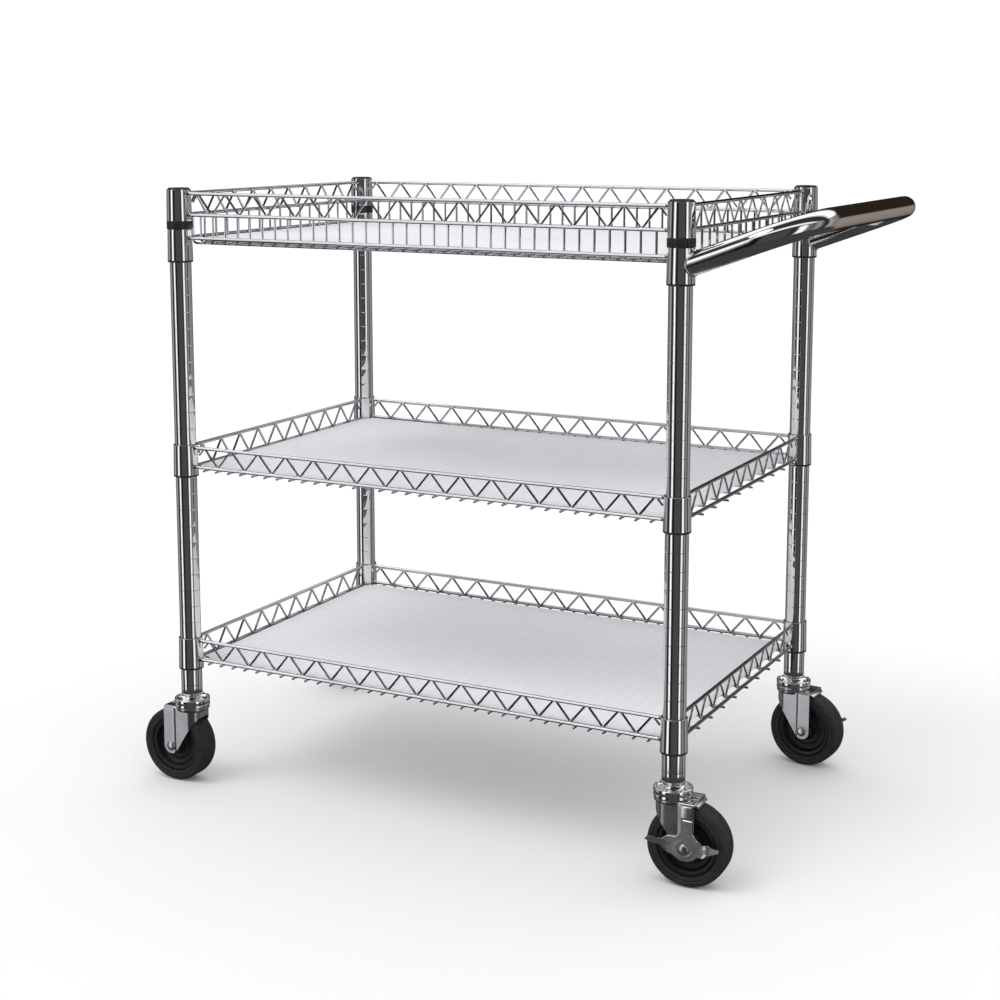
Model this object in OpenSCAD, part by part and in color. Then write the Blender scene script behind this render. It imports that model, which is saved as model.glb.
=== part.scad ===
// Wire shelf cart: a deep wire tray and two wire shelves on four grooved posts, with a push
// handle and four swivel casters, two of them braked. Millimetres, +Z up, floor at Z = 0,
// +X towards the handle, origin under the middle of the cart's overall outline.

/* [Overall] */
// Distance between post centres along the cart
post_span_x = 700; // [520:5:1000]
// Distance between post centres across the cart
post_span_y = 448; // [340:2:600]
// Length of a post tube
post_len = 688; // [640:1:900]
// Height of the middle shelf's collar tops above the floor
middle_shelf_h = 465; // [400:1:520]
// Height of the lower shelf's collar tops above the floor
lower_shelf_h = 201; // [175:1:260]

/* [Posts] */
// Outer diameter of a post
post_d = 28; // [24:0.5:34]
// Wall of a post
post_wall = 1.5; // [1:0.1:2.5]
// Distance between the grooves that the sleeves clip into
groove_pitch = 22; // [18:1:30]
// Height of a groove
groove_w = 1.2; // [0.8:0.1:2]
// Depth of a groove
groove_depth = 0.5; // [0.2:0.1:0.7]
// Height of the post cap's flange
cap_t = 2.4; // [1.5:0.1:4]
// Depth of the post cap's plug
cap_plug = 12; // [6:1:20]

/* [Collars and sleeves] */
// Height of a shelf collar
collar_h = 41; // [34:1:55]
// Wall of a collar
collar_wall = 1.1; // [0.8:0.1:2]
// Thickness of a split sleeve at its thin upper end
sleeve_min_t = 0.6; // [0.4:0.1:1.5]
// How much a collar's radius grows from top to bottom
collar_taper = 0.8; // [0.4:0.1:1.6]
// Height of the sleeve rim that shows under a collar
sleeve_rim_h = 2; // [1:0.5:4]
// Height of the sleeve band between the tray's upper and lower collars
band_h = 10.4; // [6:0.2:20]
// Width of the slit between a sleeve's halves
sleeve_slit = 0.8; // [0.4:0.1:2]
// Draft of a sleeve's bore, which is this much wider at its lower end
sleeve_draft = 0.05; // [0.04:0.01:0.1]

/* [Wires] */
// Diameter of the edge rails
rail_d = 4.6; // [3.5:0.1:6]
// Diameter of the zigzag wires
zig_d = 3; // [2:0.1:4]
// Diameter of the floor wires
wire_d = 3; // [2:0.1:4]
// Length of one zigzag
zig_pitch = 42.9; // [30:0.1:60]
// How far the zigzag's turns stop inside the rails' centre lines
zig_inset = 2; // [1.5:0.1:3]
// Bend radius of the zigzag's turns
zig_bend = 3; // [2:0.5:6]
// Distance between floor wires that run across the cart
cross_pitch = 19.3; // [14:0.1:30]
// Distance between floor wires that run along the middle and lower shelves
long_pitch = 43; // [30:1:80]
// Distance between the tray's wires that run along the cart
tray_long_pitch = 25; // [18:1:40]
// How far the outermost floor wire stays from a collar
corner_gap = 6; // [3:0.5:15]
// How far a floor wire's end passes a rail
wire_tail = 1.6; // [0.5:0.1:4]

/* [Tray] */
// Depth of the tray's upper rail below the post top
tray_top_drop = 5.5; // [4:0.5:12]
// Distance between the tray's upper two rails
tray_truss_h = 27.5; // [20:0.5:34]
// Depth of the tray's floor rail below the post top
tray_floor_rail_drop = 63; // [58:0.5:75]
// Depth of the tray's cross wires below the post top, along the floor
tray_floor_drop = 68; // [64:0.5:80]
// Bend radius of the tray's wires where walls meet floor
tray_bend = 5; // [4:0.5:10]

/* [Shelves] */
// Depth of a shelf's upper rail below its collar tops
shelf_top_drop = 4; // [3.5:0.5:8]
// Distance between a shelf's upper and lower long rails
shelf_truss_h = 26; // [20:0.5:28]

/* [Liners] */
// Thickness of a liner sheet
liner_t = 1.6; // [1:0.1:3]
// Distance from the rails' centre line to a liner's edge
liner_edge = 10.5; // [10:0.5:20]
// Radius of the notch round a post
liner_notch_r = 24; // [21:1:35]
// Clearance of a liner over the wires that it lies on
liner_lift = 0.3; // [0.3:0.1:0.5]

/* [Handle] */
// Distance from the post centres to the grip's centre line
handle_reach = 150; // [125:1:250]
// How much the grip stands above the handle's fixed ends
handle_rise = 55; // [0:1:90]
// Outer diameter of the handle tube
handle_d = 27; // [20:1:29]
// Wall of the handle tube
handle_wall = 1.5; // [1:0.1:2.5]
// Centre-line radius of the handle's two bends
handle_bend = 70; // [45:1:100]
// Depth of the handle's fixed ends below the post top
handle_drop = 75; // [68:0.5:78]

/* [Casters] */
// Wheel diameter
wheel_d = 100; // [90:1:110]
// Tyre width
wheel_w = 32; // [26:1:36]
// Thickness of the tyre between the wheel centre and the tread
tyre_t = 13; // [9:0.5:15]
// Radius of the tyre's rounded shoulders
tyre_round = 4.5; // [2:0.5:5]
// Horizontal distance from the swivel axis to the axle
trail = 22; // [16:1:28]
// Thickness of the fork's sheet
fork_t = 2.5; // [2:0.1:3]
// Space between the tyre's side and the fork leg
fork_side_gap = 2; // [1.5:0.1:4]
// Space between the top of the tyre and the fork's top plate
fork_top_gap = 3.2; // [3:0.1:6]
// Radius of a fork leg's rounded lower end
leg_end_r = 11; // [9:0.5:13]
// Distance from the swivel axis to the front of the fork
fork_front = 18.5; // [17:0.5:20]
// Height of the fork's front wall below its top plate
fork_front_h = 10; // [6:0.5:14]
// Radius of the axle bolt
axle_r = 4; // [3:0.25:5]
// Radial running clearance of a bush on its axle, and of the fork on its kingpin
run_clear = 0.06; // [0.02:0.01:0.09]
// Outer radius of the bush in the wheel centre
bush_r = 6.5; // [5.8:0.1:8]
// Outer radius of the wheel centre's boss
boss_r = 13; // [11:0.5:16]
// Thickness of the wheel centre's web
web_t = 8; // [5:0.5:12]
// Thickness of the wheel centre's rim under the tyre
hub_rim_t = 6; // [4:0.5:8]
// Radius of the axle bolt's head
bolt_head_r = 6.6; // [5.8:0.1:8]
// Height of the axle bolt's head
bolt_head_h = 3; // [2:0.1:5]
// Height of the axle's nut
nut_h = 4; // [3:0.1:6]
// Radius of the axle's nut over its corners
nut_r = 7.5; // [6.5:0.1:8.5]
// Outer radius of the upper ball race
race_r = 23.5; // [22.5:0.25:27]
// Height of the race's upturned rim
race_rim_h = 4; // [2:0.5:6]
// Thickness of the race's floor
race_t = 2.4; // [1.5:0.1:3]
// Wall of the race's rim and skirt
race_wall = 1.8; // [1.2:0.1:2.2]
// Radius of the balls in the swivel
ball_r = 2.3; // [2:0.1:2.6]
// Number of balls in a swivel
ball_count = 14; // [8:1:16]
// Radius of the caster stem
stem_r = 5.5; // [4.5:0.25:6]
// Radius of the kingpin below the race
kingpin_r = 6; // [5:0.25:7]
// Radius of the kingpin's riveted head under the fork
rivet_r = 7.5; // [7.25:0.25:8.5]
// Space between the riveted head and the tyre
rivet_gap = 0.8; // [0.6:0.1:1.5]
// Height of the stem above the race
stem_len = 34; // [24:1:45]

/* [Brakes] */
// Sheet thickness of the brake pedal and shoe
brake_t = 1.8; // [1.4:0.1:2.2]
// Distance from the axle to a pedal tip
pedal_reach = 46; // [38:1:48]
// Radius of the pedal's boss
pedal_boss_r = 12.5; // [11:0.5:15]
// Height of the pedal's tongue above the axle
tongue_h = 36; // [30:0.5:37]
// Angle at which the pedal tips bend outwards
pedal_tip_angle = 30; // [10:1:40]
// Angle at which the pedal stands when the brake is off
pedal_rock = 7; // [0:0.5:9]
// Clearance between parts of the brake that move past each other
brake_clear = 0.5; // [0.35:0.05:0.8]
// How far the brake shoe reaches in front of the axle
shoe_front = 10; // [6:0.5:12]
// How far the brake shoe reaches behind the axle
shoe_reach = 15; // [12:0.5:18]
// Width of the shoe's ear and of the pedal's tongue
ear_w = 13; // [9:0.5:15]
// How far the ear and the tongue reach in front of the axle
ear_front = 4; // [2:0.5:6]
// Height of the gap between the tongue and the ear
ear_gap = 2.4; // [2.2:0.1:4]

/* [Stance] */
// Direction of the front left caster's trail
trail_fl = 180; // [-180:1:180]
// Direction of the front right caster's trail
trail_fr = 2; // [-180:1:180]
// Direction of the back left caster's trail
trail_bl = 180; // [-180:1:180]
// Direction of the back right caster's trail
trail_br = -6; // [-180:1:180]

/* [Hidden] */
$fn = 64;
weld = 0.03;        // gap left between wires that are welded together
seat = 0.02;        // gap left between pieces that are pushed together
clear = 0.3;        // gap between pieces that move past each other
wire_sides = 6;
axle_z = wheel_d / 2;
tyre_seat_r = wheel_d / 2 - tyre_t;
post_r = post_d / 2;
rail_r = rail_d / 2;
zig_r = zig_d / 2;
wire_r = wire_d / 2;
collar_top_r = post_r + sleeve_min_t + collar_wall;
collar_bottom_r = collar_top_r + collar_taper;

// Heights through a caster, from the wheel up to the post
fork_under_z = wheel_d + fork_top_gap;
fork_top_z = fork_under_z + fork_t;
race_under_z = fork_top_z + clear + 2 * ball_r;
race_top_z = race_under_z + race_t;
post_bottom_z = race_top_z + seat;
post_top_z = post_bottom_z + post_len;

// Rows of fork pieces across the wheel, measured from its middle plane
leg_in = wheel_w / 2 + fork_side_gap;
leg_out = leg_in + fork_t;
pedal_in = leg_out + brake_clear;
pedal_out = pedal_in + brake_t;
pedal_stack = pedal_out + brake_clear - leg_out;
shoe_top_z = fork_under_z - brake_clear;

// Lowest point of the kingpin's riveted head, which stays clear of the tyre below it
rivet_under_z = axle_z + sqrt(pow(wheel_d / 2, 2) - pow(trail - rivet_r, 2)) + rivet_gap;

// Tray levels
foot_collar_z = post_top_z - collar_h - band_h;
tray_top_z = post_top_z - tray_top_drop;
tray_mid_z = tray_top_z - tray_truss_h;
tray_floor_rail_z = post_top_z - tray_floor_rail_drop;
tray_cross_z = post_top_z - tray_floor_drop;
tray_long_z = tray_cross_z - wire_d - weld;

// How far a wire's centre line stays inside or under the rail that it is welded to
wall_wire_in = rail_r + wire_r + weld;
zig_in = rail_r + zig_r + weld;

// Space along a side that floor wires and zigzags may fill, either way from its middle
wires_x = post_span_x / 2 - collar_bottom_r - corner_gap;
wires_y = post_span_y / 2 - collar_bottom_r - corner_gap;

// Middle of the overall outline along X, measured from the middle of the posts
outline_right = post_span_x / 2 + handle_reach + handle_d / 2;
outline_left = post_span_x / 2 + trail + wheel_d / 2;
middle_x = (outline_right - outline_left) / 2;

// Radius of a collar's outside at a depth below its top
function collar_r_at(depth) = collar_top_r + collar_taper * depth / collar_h;

// Evenly spaced places, as many as fit within reach either way from 0
function spread(reach, pitch) =
    let (n = floor(2 * reach / pitch))
    [for (i = [0 : n]) (i - n / 2) * pitch];

function unit(v) = v / norm(v);
function left_of(v) = [-v[1], v[0]];

// Points of the arc that rounds the corner q between its neighbours p and s
function corner_arc(p, q, s, r) =
    let (
        u = unit(p - q),
        v = unit(s - q),
        half = acos(u * v) / 2,
        c = q + unit(u + v) * r / sin(half),
        a = unit(q + u * r / tan(half) - c) * r,
        b = unit(q + v * r / tan(half) - c) * r
    )
    [c + a, c + unit(a + b) * r, c + b];

// A bent path: straight between its points, with an arc at every inner point
function rounded(path, r) = [
    path[0],
    for (i = [1 : len(path) - 2]) each corner_arc(path[i - 1], path[i], path[i + 1], r),
    path[len(path) - 1]
];

// Direction square to a path at its point i, stretched so that a bent wire keeps its thickness
function mitre(path, i) =
    let (
        last = len(path) - 1,
        before = unit(path[max(i, 1)] - path[max(i, 1) - 1]),
        after = unit(path[min(i, last - 1) + 1] - path[min(i, last - 1)]),
        n = unit(left_of(before) + left_of(after))
    )
    n / (n * left_of(before));

// A wire of radius r along a path in the XZ plane
module wire(path, r) {
    s = wire_sides;
    rings = len(path);
    points = [
        for (i = [0 : rings - 1], j = [0 : s - 1])
            let (m = mitre(path, i) * r * cos(360 * j / s))
            [path[i][0] + m[0], r * sin(360 * j / s), path[i][1] + m[1]]
    ];
    sides = [
        for (i = [0 : rings - 2], j = [0 : s - 1])
            [i * s + j, i * s + (j + 1) % s, (i + 1) * s + (j + 1) % s, (i + 1) * s + j]
    ];
    start = [for (j = [s - 1 : -1 : 0]) j];
    end = [for (j = [0 : s - 1]) (rings - 1) * s + j];
    polyhedron(points, concat(sides, [start, end]));
}

module rod_x(x0, x1, y, z, r) translate([x0, y, z]) rotate([0, 90, 0]) cylinder(h = x1 - x0, r = r);
module rod_y(y0, y1, x, z, r) translate([x, y0, z]) rotate([-90, 0, 0]) cylinder(h = y1 - y0, r = r);

// Moves the middle of the posts to its place beside the origin
module in_frame() translate([-middle_x, 0, 0]) children();

module at_post(sx, sy) in_frame() translate([sx * post_span_x / 2, sy * post_span_y / 2, 0]) children();

module at_posts()
    for (sx = [-1, 1], sy = [-1, 1]) at_post(sx, sy) children();

// ---- posts, collars and sleeves ----

// Outline of the tube's wall, with one notch for each groove
post_outline = [
    [post_r - post_wall, 0],
    [post_r, 0],
    for (z = [groove_pitch : groove_pitch : post_len - groove_pitch / 2])
        each [
            [post_r, z - groove_w / 2],
            [post_r - groove_depth, z - groove_w / 4],
            [post_r - groove_depth, z + groove_w / 4],
            [post_r, z + groove_w / 2]
        ],
    [post_r, post_len],
    [post_r - post_wall, post_len]
];

module post(sx, sy)
    color("silver") at_post(sx, sy) translate([0, 0, post_bottom_z])
        rotate_extrude() polygon(post_outline);

module post_caps() {
    plug_r = post_r - post_wall - seat;
    edge = cap_t / 3;
    color("#202020") at_posts() translate([0, 0, post_top_z + seat])
        rotate_extrude() polygon([
            [0, -cap_plug], [plug_r - 1, -cap_plug], [plug_r, 1 - cap_plug], [plug_r, 0],
            [post_r, 0], [post_r, cap_t - edge], [post_r - edge, cap_t], [0, cap_t]
        ]);
}

module caster_sockets()
    color("#303030") at_posts() translate([0, 0, post_bottom_z])
        difference() {
            cylinder(h = stem_len + 4, r = post_r - post_wall - seat);
            translate([0, 0, -1]) cylinder(h = stem_len + 2, r = stem_r + seat);
        }

// A tapered collar whose top is at height z
module collar(z) {
    inner = post_r + sleeve_min_t;
    translate([0, 0, z - collar_h])
        rotate_extrude() polygon([
            [inner + collar_taper, 0], [collar_bottom_r, 0], [collar_top_r, collar_h], [inner, collar_h]
        ]);
}

module collars(z) color("silver") at_posts() collar(z);

// A pair of half sleeves that wedge a collar on a post, with a rim below the collar
module sleeve_pair(z, rim_h) {
    inner = post_r + seat;
    outer_top = post_r + sleeve_min_t - seat;
    outer_bottom = outer_top + collar_taper;
    depth = collar_h + rim_h;
    translate([0, 0, z - depth])
        difference() {
            rotate_extrude() polygon([
                [inner + sleeve_draft, 0], [collar_bottom_r, 0], [collar_bottom_r, rim_h - seat],
                [outer_bottom, rim_h - seat], [outer_top, depth], [inner, depth]
            ]);
            cube([3 * collar_bottom_r, sleeve_slit, 3 * depth], center = true);
        }
}

module sleeves(z, rim_h)
    color("#202020") for (sx = [-1, 1], sy = [-1, 1])
        at_post(sx, sy) rotate(sx * sy * 45) sleeve_pair(z, rim_h);

// ---- wires ----

// Rails on the two long sides, at height z, ending at collars whose tops are at collar_z
module long_rails(z, collar_z) {
    reach = post_span_x / 2 - collar_r_at(collar_z - z) - weld;
    color("silver") in_frame() for (sy = [-1, 1]) rod_x(-reach, reach, sy * post_span_y / 2, z, rail_r);
}

// Rails on the two short sides
module end_rails(z, collar_z) {
    reach = post_span_y / 2 - collar_r_at(collar_z - z) - weld;
    color("silver") in_frame() for (sx = [-1, 1]) rod_y(-reach, reach, sx * post_span_x / 2, z, rail_r);
}

// Corners of a zigzag between two heights that has a cut-off half leg at either end
function zigzag_path(span, z_top, z_bottom) =
    let (
        free = span - 2 * (collar_bottom_r + zig_pitch / 5),
        n = floor(free / zig_pitch),
        half_turn = atan(zig_pitch / 2 / (z_top - z_bottom)),
        past = zig_bend / sin(half_turn) - zig_bend,
        top = z_top - zig_inset + past,
        bottom = z_bottom + zig_inset - past,
        first = -n * zig_pitch / 2,
        stub = [zig_pitch / 5, (top - bottom) * 2 / 5]
    )
    [
        [first - stub[0], top - stub[1]],
        for (i = [0 : 2 * n]) [first + i * zig_pitch / 2, i % 2 == 0 ? top : bottom],
        [-first + stub[0], top - stub[1]]
    ];

// The four zigzags of a truss: the ends' lower rails may lie at another height
module zigzags(z_top, z_bottom, z_end_bottom) {
    color("silver") in_frame() {
        for (sy = [-1, 1]) translate([0, sy * (post_span_y / 2 - zig_in), 0])
            wire(rounded(zigzag_path(post_span_x, z_top, z_bottom), zig_bend), zig_r);
        for (sx = [-1, 1]) translate([sx * (post_span_x / 2 - zig_in), 0, 0]) rotate(90)
            wire(rounded(zigzag_path(post_span_y, z_top, z_end_bottom), zig_bend), zig_r);
    }
}

// Path of a wire that comes down one wall, crosses the floor and goes up the other wall
function basket_path(span, z_floor) =
    let (half = span / 2 - wall_wire_in)
    [
        [-half, tray_mid_z - wire_r / 4], [-half, z_floor],
        [half, z_floor], [half, tray_mid_z - wire_r / 4]
    ];

module tray_rim_rails() {
    long_rails(tray_top_z, post_top_z);
    long_rails(tray_mid_z, post_top_z);
    end_rails(tray_top_z, post_top_z);
    end_rails(tray_mid_z, post_top_z);
}

module tray_floor_rails() {
    long_rails(tray_floor_rail_z, foot_collar_z);
    end_rails(tray_floor_rail_z, foot_collar_z);
}

module tray_zigzags() zigzags(tray_top_z, tray_mid_z, tray_mid_z);

module tray_cross_wires()
    color("silver") in_frame() for (x = spread(wires_x, cross_pitch))
        translate([x, 0, 0]) rotate(90)
            wire(rounded(basket_path(post_span_y, tray_cross_z), tray_bend), wire_r);

module tray_long_wires()
    color("silver") in_frame() for (y = spread(wires_y, tray_long_pitch))
        translate([0, y, 0])
            wire(rounded(basket_path(post_span_x, tray_long_z), tray_bend), wire_r);

// Levels of a shelf's wires below its collar tops at height h
function long_rail_z(h) = h - shelf_top_drop - shelf_truss_h;
function cross_wire_z(h) = long_rail_z(h) - rail_r - wire_r - weld;
function long_wire_z(h) = cross_wire_z(h) - wire_d - weld;
function end_rail_z(h) = long_wire_z(h) + wire_r + rail_r + weld;

module shelf_rails(h) {
    long_rails(h - shelf_top_drop, h);
    long_rails(long_rail_z(h), h);
    end_rails(h - shelf_top_drop, h);
    end_rails(end_rail_z(h), h);
}

module shelf_zigzags(h) zigzags(h - shelf_top_drop, long_rail_z(h), end_rail_z(h));

module shelf_cross_wires(h) {
    reach = post_span_y / 2 + rail_r + wire_tail;
    color("silver") in_frame() for (x = spread(wires_x, cross_pitch))
        rod_y(-reach, reach, x, cross_wire_z(h), wire_r);
}

module shelf_long_wires(h) {
    reach = post_span_x / 2 + rail_r + wire_tail;
    color("silver") in_frame() for (y = spread(wires_y, long_pitch))
        rod_x(-reach, reach, y, long_wire_z(h), wire_r);
}

// A sheet that lies on cross wires whose centres are at height z, notched round the posts
module liner(z) {
    size = [post_span_x - 2 * liner_edge, post_span_y - 2 * liner_edge];
    color("whitesmoke") in_frame() translate([0, 0, z + wire_r + liner_lift])
        linear_extrude(liner_t) difference() {
            square(size, center = true);
            for (sx = [-1, 1], sy = [-1, 1])
                translate([sx * post_span_x / 2, sy * post_span_y / 2]) circle(r = liner_notch_r);
        }
}

// ---- handle ----

// The handle tube's ring-shaped section
module handle_section()
    difference() {
        circle(r = handle_d / 2);
        circle(r = handle_d / 2 - handle_wall);
    }

module handle_tube() {
    slope = atan2(handle_rise, handle_reach);
    arm = norm([handle_rise, handle_reach]);
    half = post_span_y / 2;
    color("silver") difference() {
        in_frame() translate([post_span_x / 2, 0, post_top_z - handle_drop]) rotate([0, -slope, 0]) {
            for (sy = [-1, 1]) {
                translate([0, sy * half, 0]) rotate([0, 90, 0])
                    linear_extrude(arm - handle_bend) handle_section();
                translate([arm - handle_bend, sy * (half - handle_bend), 0]) rotate(sy > 0 ? 0 : -90)
                    rotate_extrude(angle = 90) translate([handle_bend, 0]) handle_section();
            }
            translate([arm, half - handle_bend, 0]) rotate([90, 0, 0])
                linear_extrude(2 * (half - handle_bend)) handle_section();
        }
        for (sy = [-1, 1]) at_post(1, sy) translate([0, 0, foot_collar_z - 2 * collar_h])
            cylinder(h = 3 * collar_h, r = collar_bottom_r + seat);
    }
}

// ---- casters ----

// Puts a caster's pieces under its post, with +X along the trail
module at_caster(sx, sy, turn) at_post(sx, sy) rotate(turn) children();

module on_axle() translate([trail, 0, axle_z]) rotate([90, 0, 0]) children();

module caster_stems()
    color("silver") at_posts() rotate_extrude() polygon([
        [0, rivet_under_z], [rivet_r - 1.2, rivet_under_z], [rivet_r, rivet_under_z + 1.2],
        [rivet_r, fork_under_z - clear], [kingpin_r, fork_under_z - clear],
        [kingpin_r, race_top_z], [stem_r, race_top_z],
        [stem_r, race_top_z + stem_len - 1.5], [stem_r - 1.5, race_top_z + stem_len],
        [0, race_top_z + stem_len]
    ]);

// A dished plate with an upturned rim round the post and a skirt over the balls
module caster_races()
    color("silver") at_posts() rotate_extrude() polygon([
        [kingpin_r + seat, race_under_z], [race_r - race_wall, race_under_z],
        [race_r - race_wall, fork_top_z + clear], [race_r, fork_top_z + clear],
        [race_r, race_top_z + race_rim_h - 1], [race_r - race_wall / 2, race_top_z + race_rim_h],
        [race_r - race_wall, race_top_z + race_rim_h - 1], [race_r - race_wall - 0.8, race_top_z],
        [kingpin_r + seat, race_top_z]
    ]);

module race_balls() {
    pitch_r = race_r - race_wall - clear - ball_r - 3;
    color("silver") at_posts() for (i = [1 : ball_count])
        rotate(360 * i / ball_count) translate([pitch_r, 0, race_under_z - ball_r - seat])
            sphere(r = ball_r);
}

// Outline of one fork leg, seen from its side: X along the trail, Y up from the floor
module leg_outline()
    difference() {
        union() {
            polygon([
                [-fork_front, fork_top_z], [-fork_front, fork_under_z - fork_front_h],
                [trail - leg_end_r, axle_z], [trail + leg_end_r, axle_z], [trail + leg_end_r, fork_top_z]
            ]);
            translate([trail, axle_z]) circle(r = leg_end_r);
        }
        translate([trail, axle_z]) circle(r = axle_r + seat);
    }

// Window in a braked fork's leg that the shoe's ear comes out through
module ear_window(side) {
    window_h = brake_t + 4 * brake_clear;
    translate([trail - ear_front - 1, side * (leg_in + leg_out) / 2 - fork_t, fork_under_z - window_h])
        cube([ear_w + 2, 2 * fork_t, window_h + 0.001]);
}

// The stamped fork: a top plate on the balls, two legs and a bridge in front.
// brake_side is the side of the brake, -1 or 1, and 0 on a caster that has none.
module fork(brake_side = 0) {
    color("silver") difference() {
        union() {
            translate([0, 0, fork_under_z]) cylinder(h = fork_t, r = race_r - 0.6);
            translate([-fork_front, -leg_out, fork_under_z])
                cube([trail + leg_end_r + fork_front, 2 * leg_out, fork_t]);
            for (sy = [-1, 1]) translate([0, sy * (leg_in + leg_out) / 2 + fork_t / 2, 0])
                rotate([90, 0, 0]) linear_extrude(fork_t) leg_outline();
            translate([-fork_front, -leg_out, fork_under_z - fork_front_h])
                cube([fork_t, 2 * leg_out, fork_front_h + fork_t]);
        }
        translate([0, 0, fork_under_z - 1]) cylinder(h = fork_t + 2, r = kingpin_r + run_clear);
        if (brake_side != 0) ear_window(brake_side);
    }
}

// Bolt and nut through both legs. The head is on the outside, and brake_side says where the
// stack is wider by the pedal.
module axle(head_side, brake_side = 0) {
    head_at = leg_out + seat + (brake_side == head_side ? pedal_stack : 0);
    nut_at = leg_out + seat + (brake_side == -head_side && brake_side != 0 ? pedal_stack : 0);
    tip = 1.5;
    edge = 0.8;
    color("silver") on_axle() rotate([head_side < 0 ? 0 : 180, 0, 0]) {
        rotate_extrude() polygon([
            [0, -nut_at - nut_h - tip], [axle_r - edge, -nut_at - nut_h - tip],
            [axle_r, edge - nut_at - nut_h - tip], [axle_r, head_at], [bolt_head_r, head_at],
            [bolt_head_r, head_at + bolt_head_h * 0.4], [bolt_head_r * 0.8, head_at + bolt_head_h * 0.85],
            [bolt_head_r * 0.45, head_at + bolt_head_h], [0, head_at + bolt_head_h]
        ]);
        translate([0, 0, -nut_at - nut_h]) difference() {
            cylinder(h = nut_h, r = nut_r, $fn = 6);
            translate([0, 0, -1]) cylinder(h = nut_h + 2, r = axle_r + seat);
        }
    }
}

module bush()
    color("goldenrod") on_axle() difference() {
        cylinder(h = 2 * (leg_in - 0.5), r = bush_r, center = true);
        cylinder(h = 2 * leg_in, r = axle_r + run_clear, center = true);
    }

// Wheel centre: a boss on the bush, a thin web and a rim under the tyre
module hub() {
    boss_half = leg_in - 1;
    rim_half = wheel_w / 2 - 4;
    web_half = web_t / 2;
    rim_in = tyre_seat_r - hub_rim_t;
    color("#262626") on_axle() rotate_extrude() polygon([
        [bush_r + seat, -boss_half], [boss_r, -boss_half], [boss_r + 2, -web_half],
        [rim_in - 2, -web_half], [rim_in, -rim_half], [tyre_seat_r, -rim_half],
        [tyre_seat_r, rim_half], [rim_in, rim_half], [rim_in - 2, web_half],
        [boss_r + 2, web_half], [boss_r, boss_half], [bush_r + seat, boss_half]
    ]);
}

module tyre() {
    half = wheel_w / 2;
    flat_half = half - tyre_round;
    tread_r = wheel_d / 2 - tyre_round;
    step = 2;
    color("#1c1c1c") on_axle() rotate_extrude() polygon([
        [tyre_seat_r + seat, step - half], [tyre_seat_r + step, -half],
        for (a = [0 : 30 : 90]) [tread_r + tyre_round * sin(a), -flat_half - tyre_round * cos(a)],
        for (a = [0 : 30 : 90]) [tread_r + tyre_round * cos(a), flat_half + tyre_round * sin(a)],
        [tyre_seat_r + step, half], [tyre_seat_r + seat, half - step]
    ]);
}

// ---- brakes ----

// Outline of one pedal wing, from inside the boss out to +X
module wing_outline()
    polygon([
        [-2, pedal_boss_r - 1], [pedal_reach * 0.33, pedal_boss_r * 1.05], [pedal_reach * 0.52, 11],
        [pedal_reach, 12], [pedal_reach, 8], [pedal_reach * 0.86, 3],
        [pedal_reach * 0.58, -1], [pedal_reach * 0.33, -9], [-2, 2 - pedal_boss_r]
    ]);

// The pedal's outline as a block that is tall enough to hold its bent tips
module pedal_block() {
    depth = 4 * pedal_reach;
    translate([0, depth / 2, 0]) rotate([90, 0, 0]) difference() {
        union() {
            cylinder(h = depth, r = pedal_boss_r);
            linear_extrude(depth) wing_outline();
            linear_extrude(depth) mirror([1, 0]) wing_outline();
            translate([-ear_front, 0, 0]) cube([ear_w, tongue_h, depth]);
        }
        translate([0, 0, -1]) cylinder(h = depth + 2, r = axle_r + run_clear);
    }
}

// The pedal's sheet seen from above: flat in the middle, its tips bent outwards
module pedal_section() {
    flat = pedal_reach * 0.55;
    out = (pedal_reach + 2 - flat) * tan(pedal_tip_angle);
    polygon([
        [-flat, 0], [flat, 0], [pedal_reach + 2, out], [pedal_reach + 2, out + brake_t],
        [flat - brake_t * tan(pedal_tip_angle / 2), brake_t],
        [-flat + brake_t * tan(pedal_tip_angle / 2), brake_t],
        [-pedal_reach - 2, out + brake_t], [-pedal_reach - 2, out]
    ]);
}

// side is the side of the wheel that the pedal is on, and rock tips it about the axle
module pedal(side, rock) {
    height = 4 * pedal_reach;
    color("gainsboro") translate([trail, 0, axle_z]) scale([1, side, 1]) rotate([0, rock, 0])
        intersection() {
            translate([0, pedal_in, -height / 2]) linear_extrude(height) pedal_section();
            pedal_block();
        }
}

// The shoe: a plate under the fork's top with a lip over the tread behind the fork, and an
// ear that comes out of the leg's window and turns down towards the pedal's tongue.
module shoe(side) {
    lip = brake_t + 1;
    plate_half = leg_in - 2;
    ear_in = leg_out + clear;
    ear_low = axle_z + tongue_h + ear_gap;
    color("gainsboro") scale([1, side, 1]) {
        translate([trail - shoe_front, -plate_half, shoe_top_z - brake_t])
            cube([shoe_front + shoe_reach, 2 * plate_half, brake_t]);
        translate([trail + shoe_reach - brake_t, -plate_half, shoe_top_z - lip])
            cube([brake_t, 2 * plate_half, lip]);
        translate([trail - ear_front, plate_half - 1, shoe_top_z - brake_t])
            cube([ear_w, ear_in + brake_t - plate_half + 1, brake_t]);
        translate([trail - ear_front, ear_in, ear_low]) cube([ear_w, brake_t, shoe_top_z - ear_low]);
    }
}

// ---- nodes ----

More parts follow.
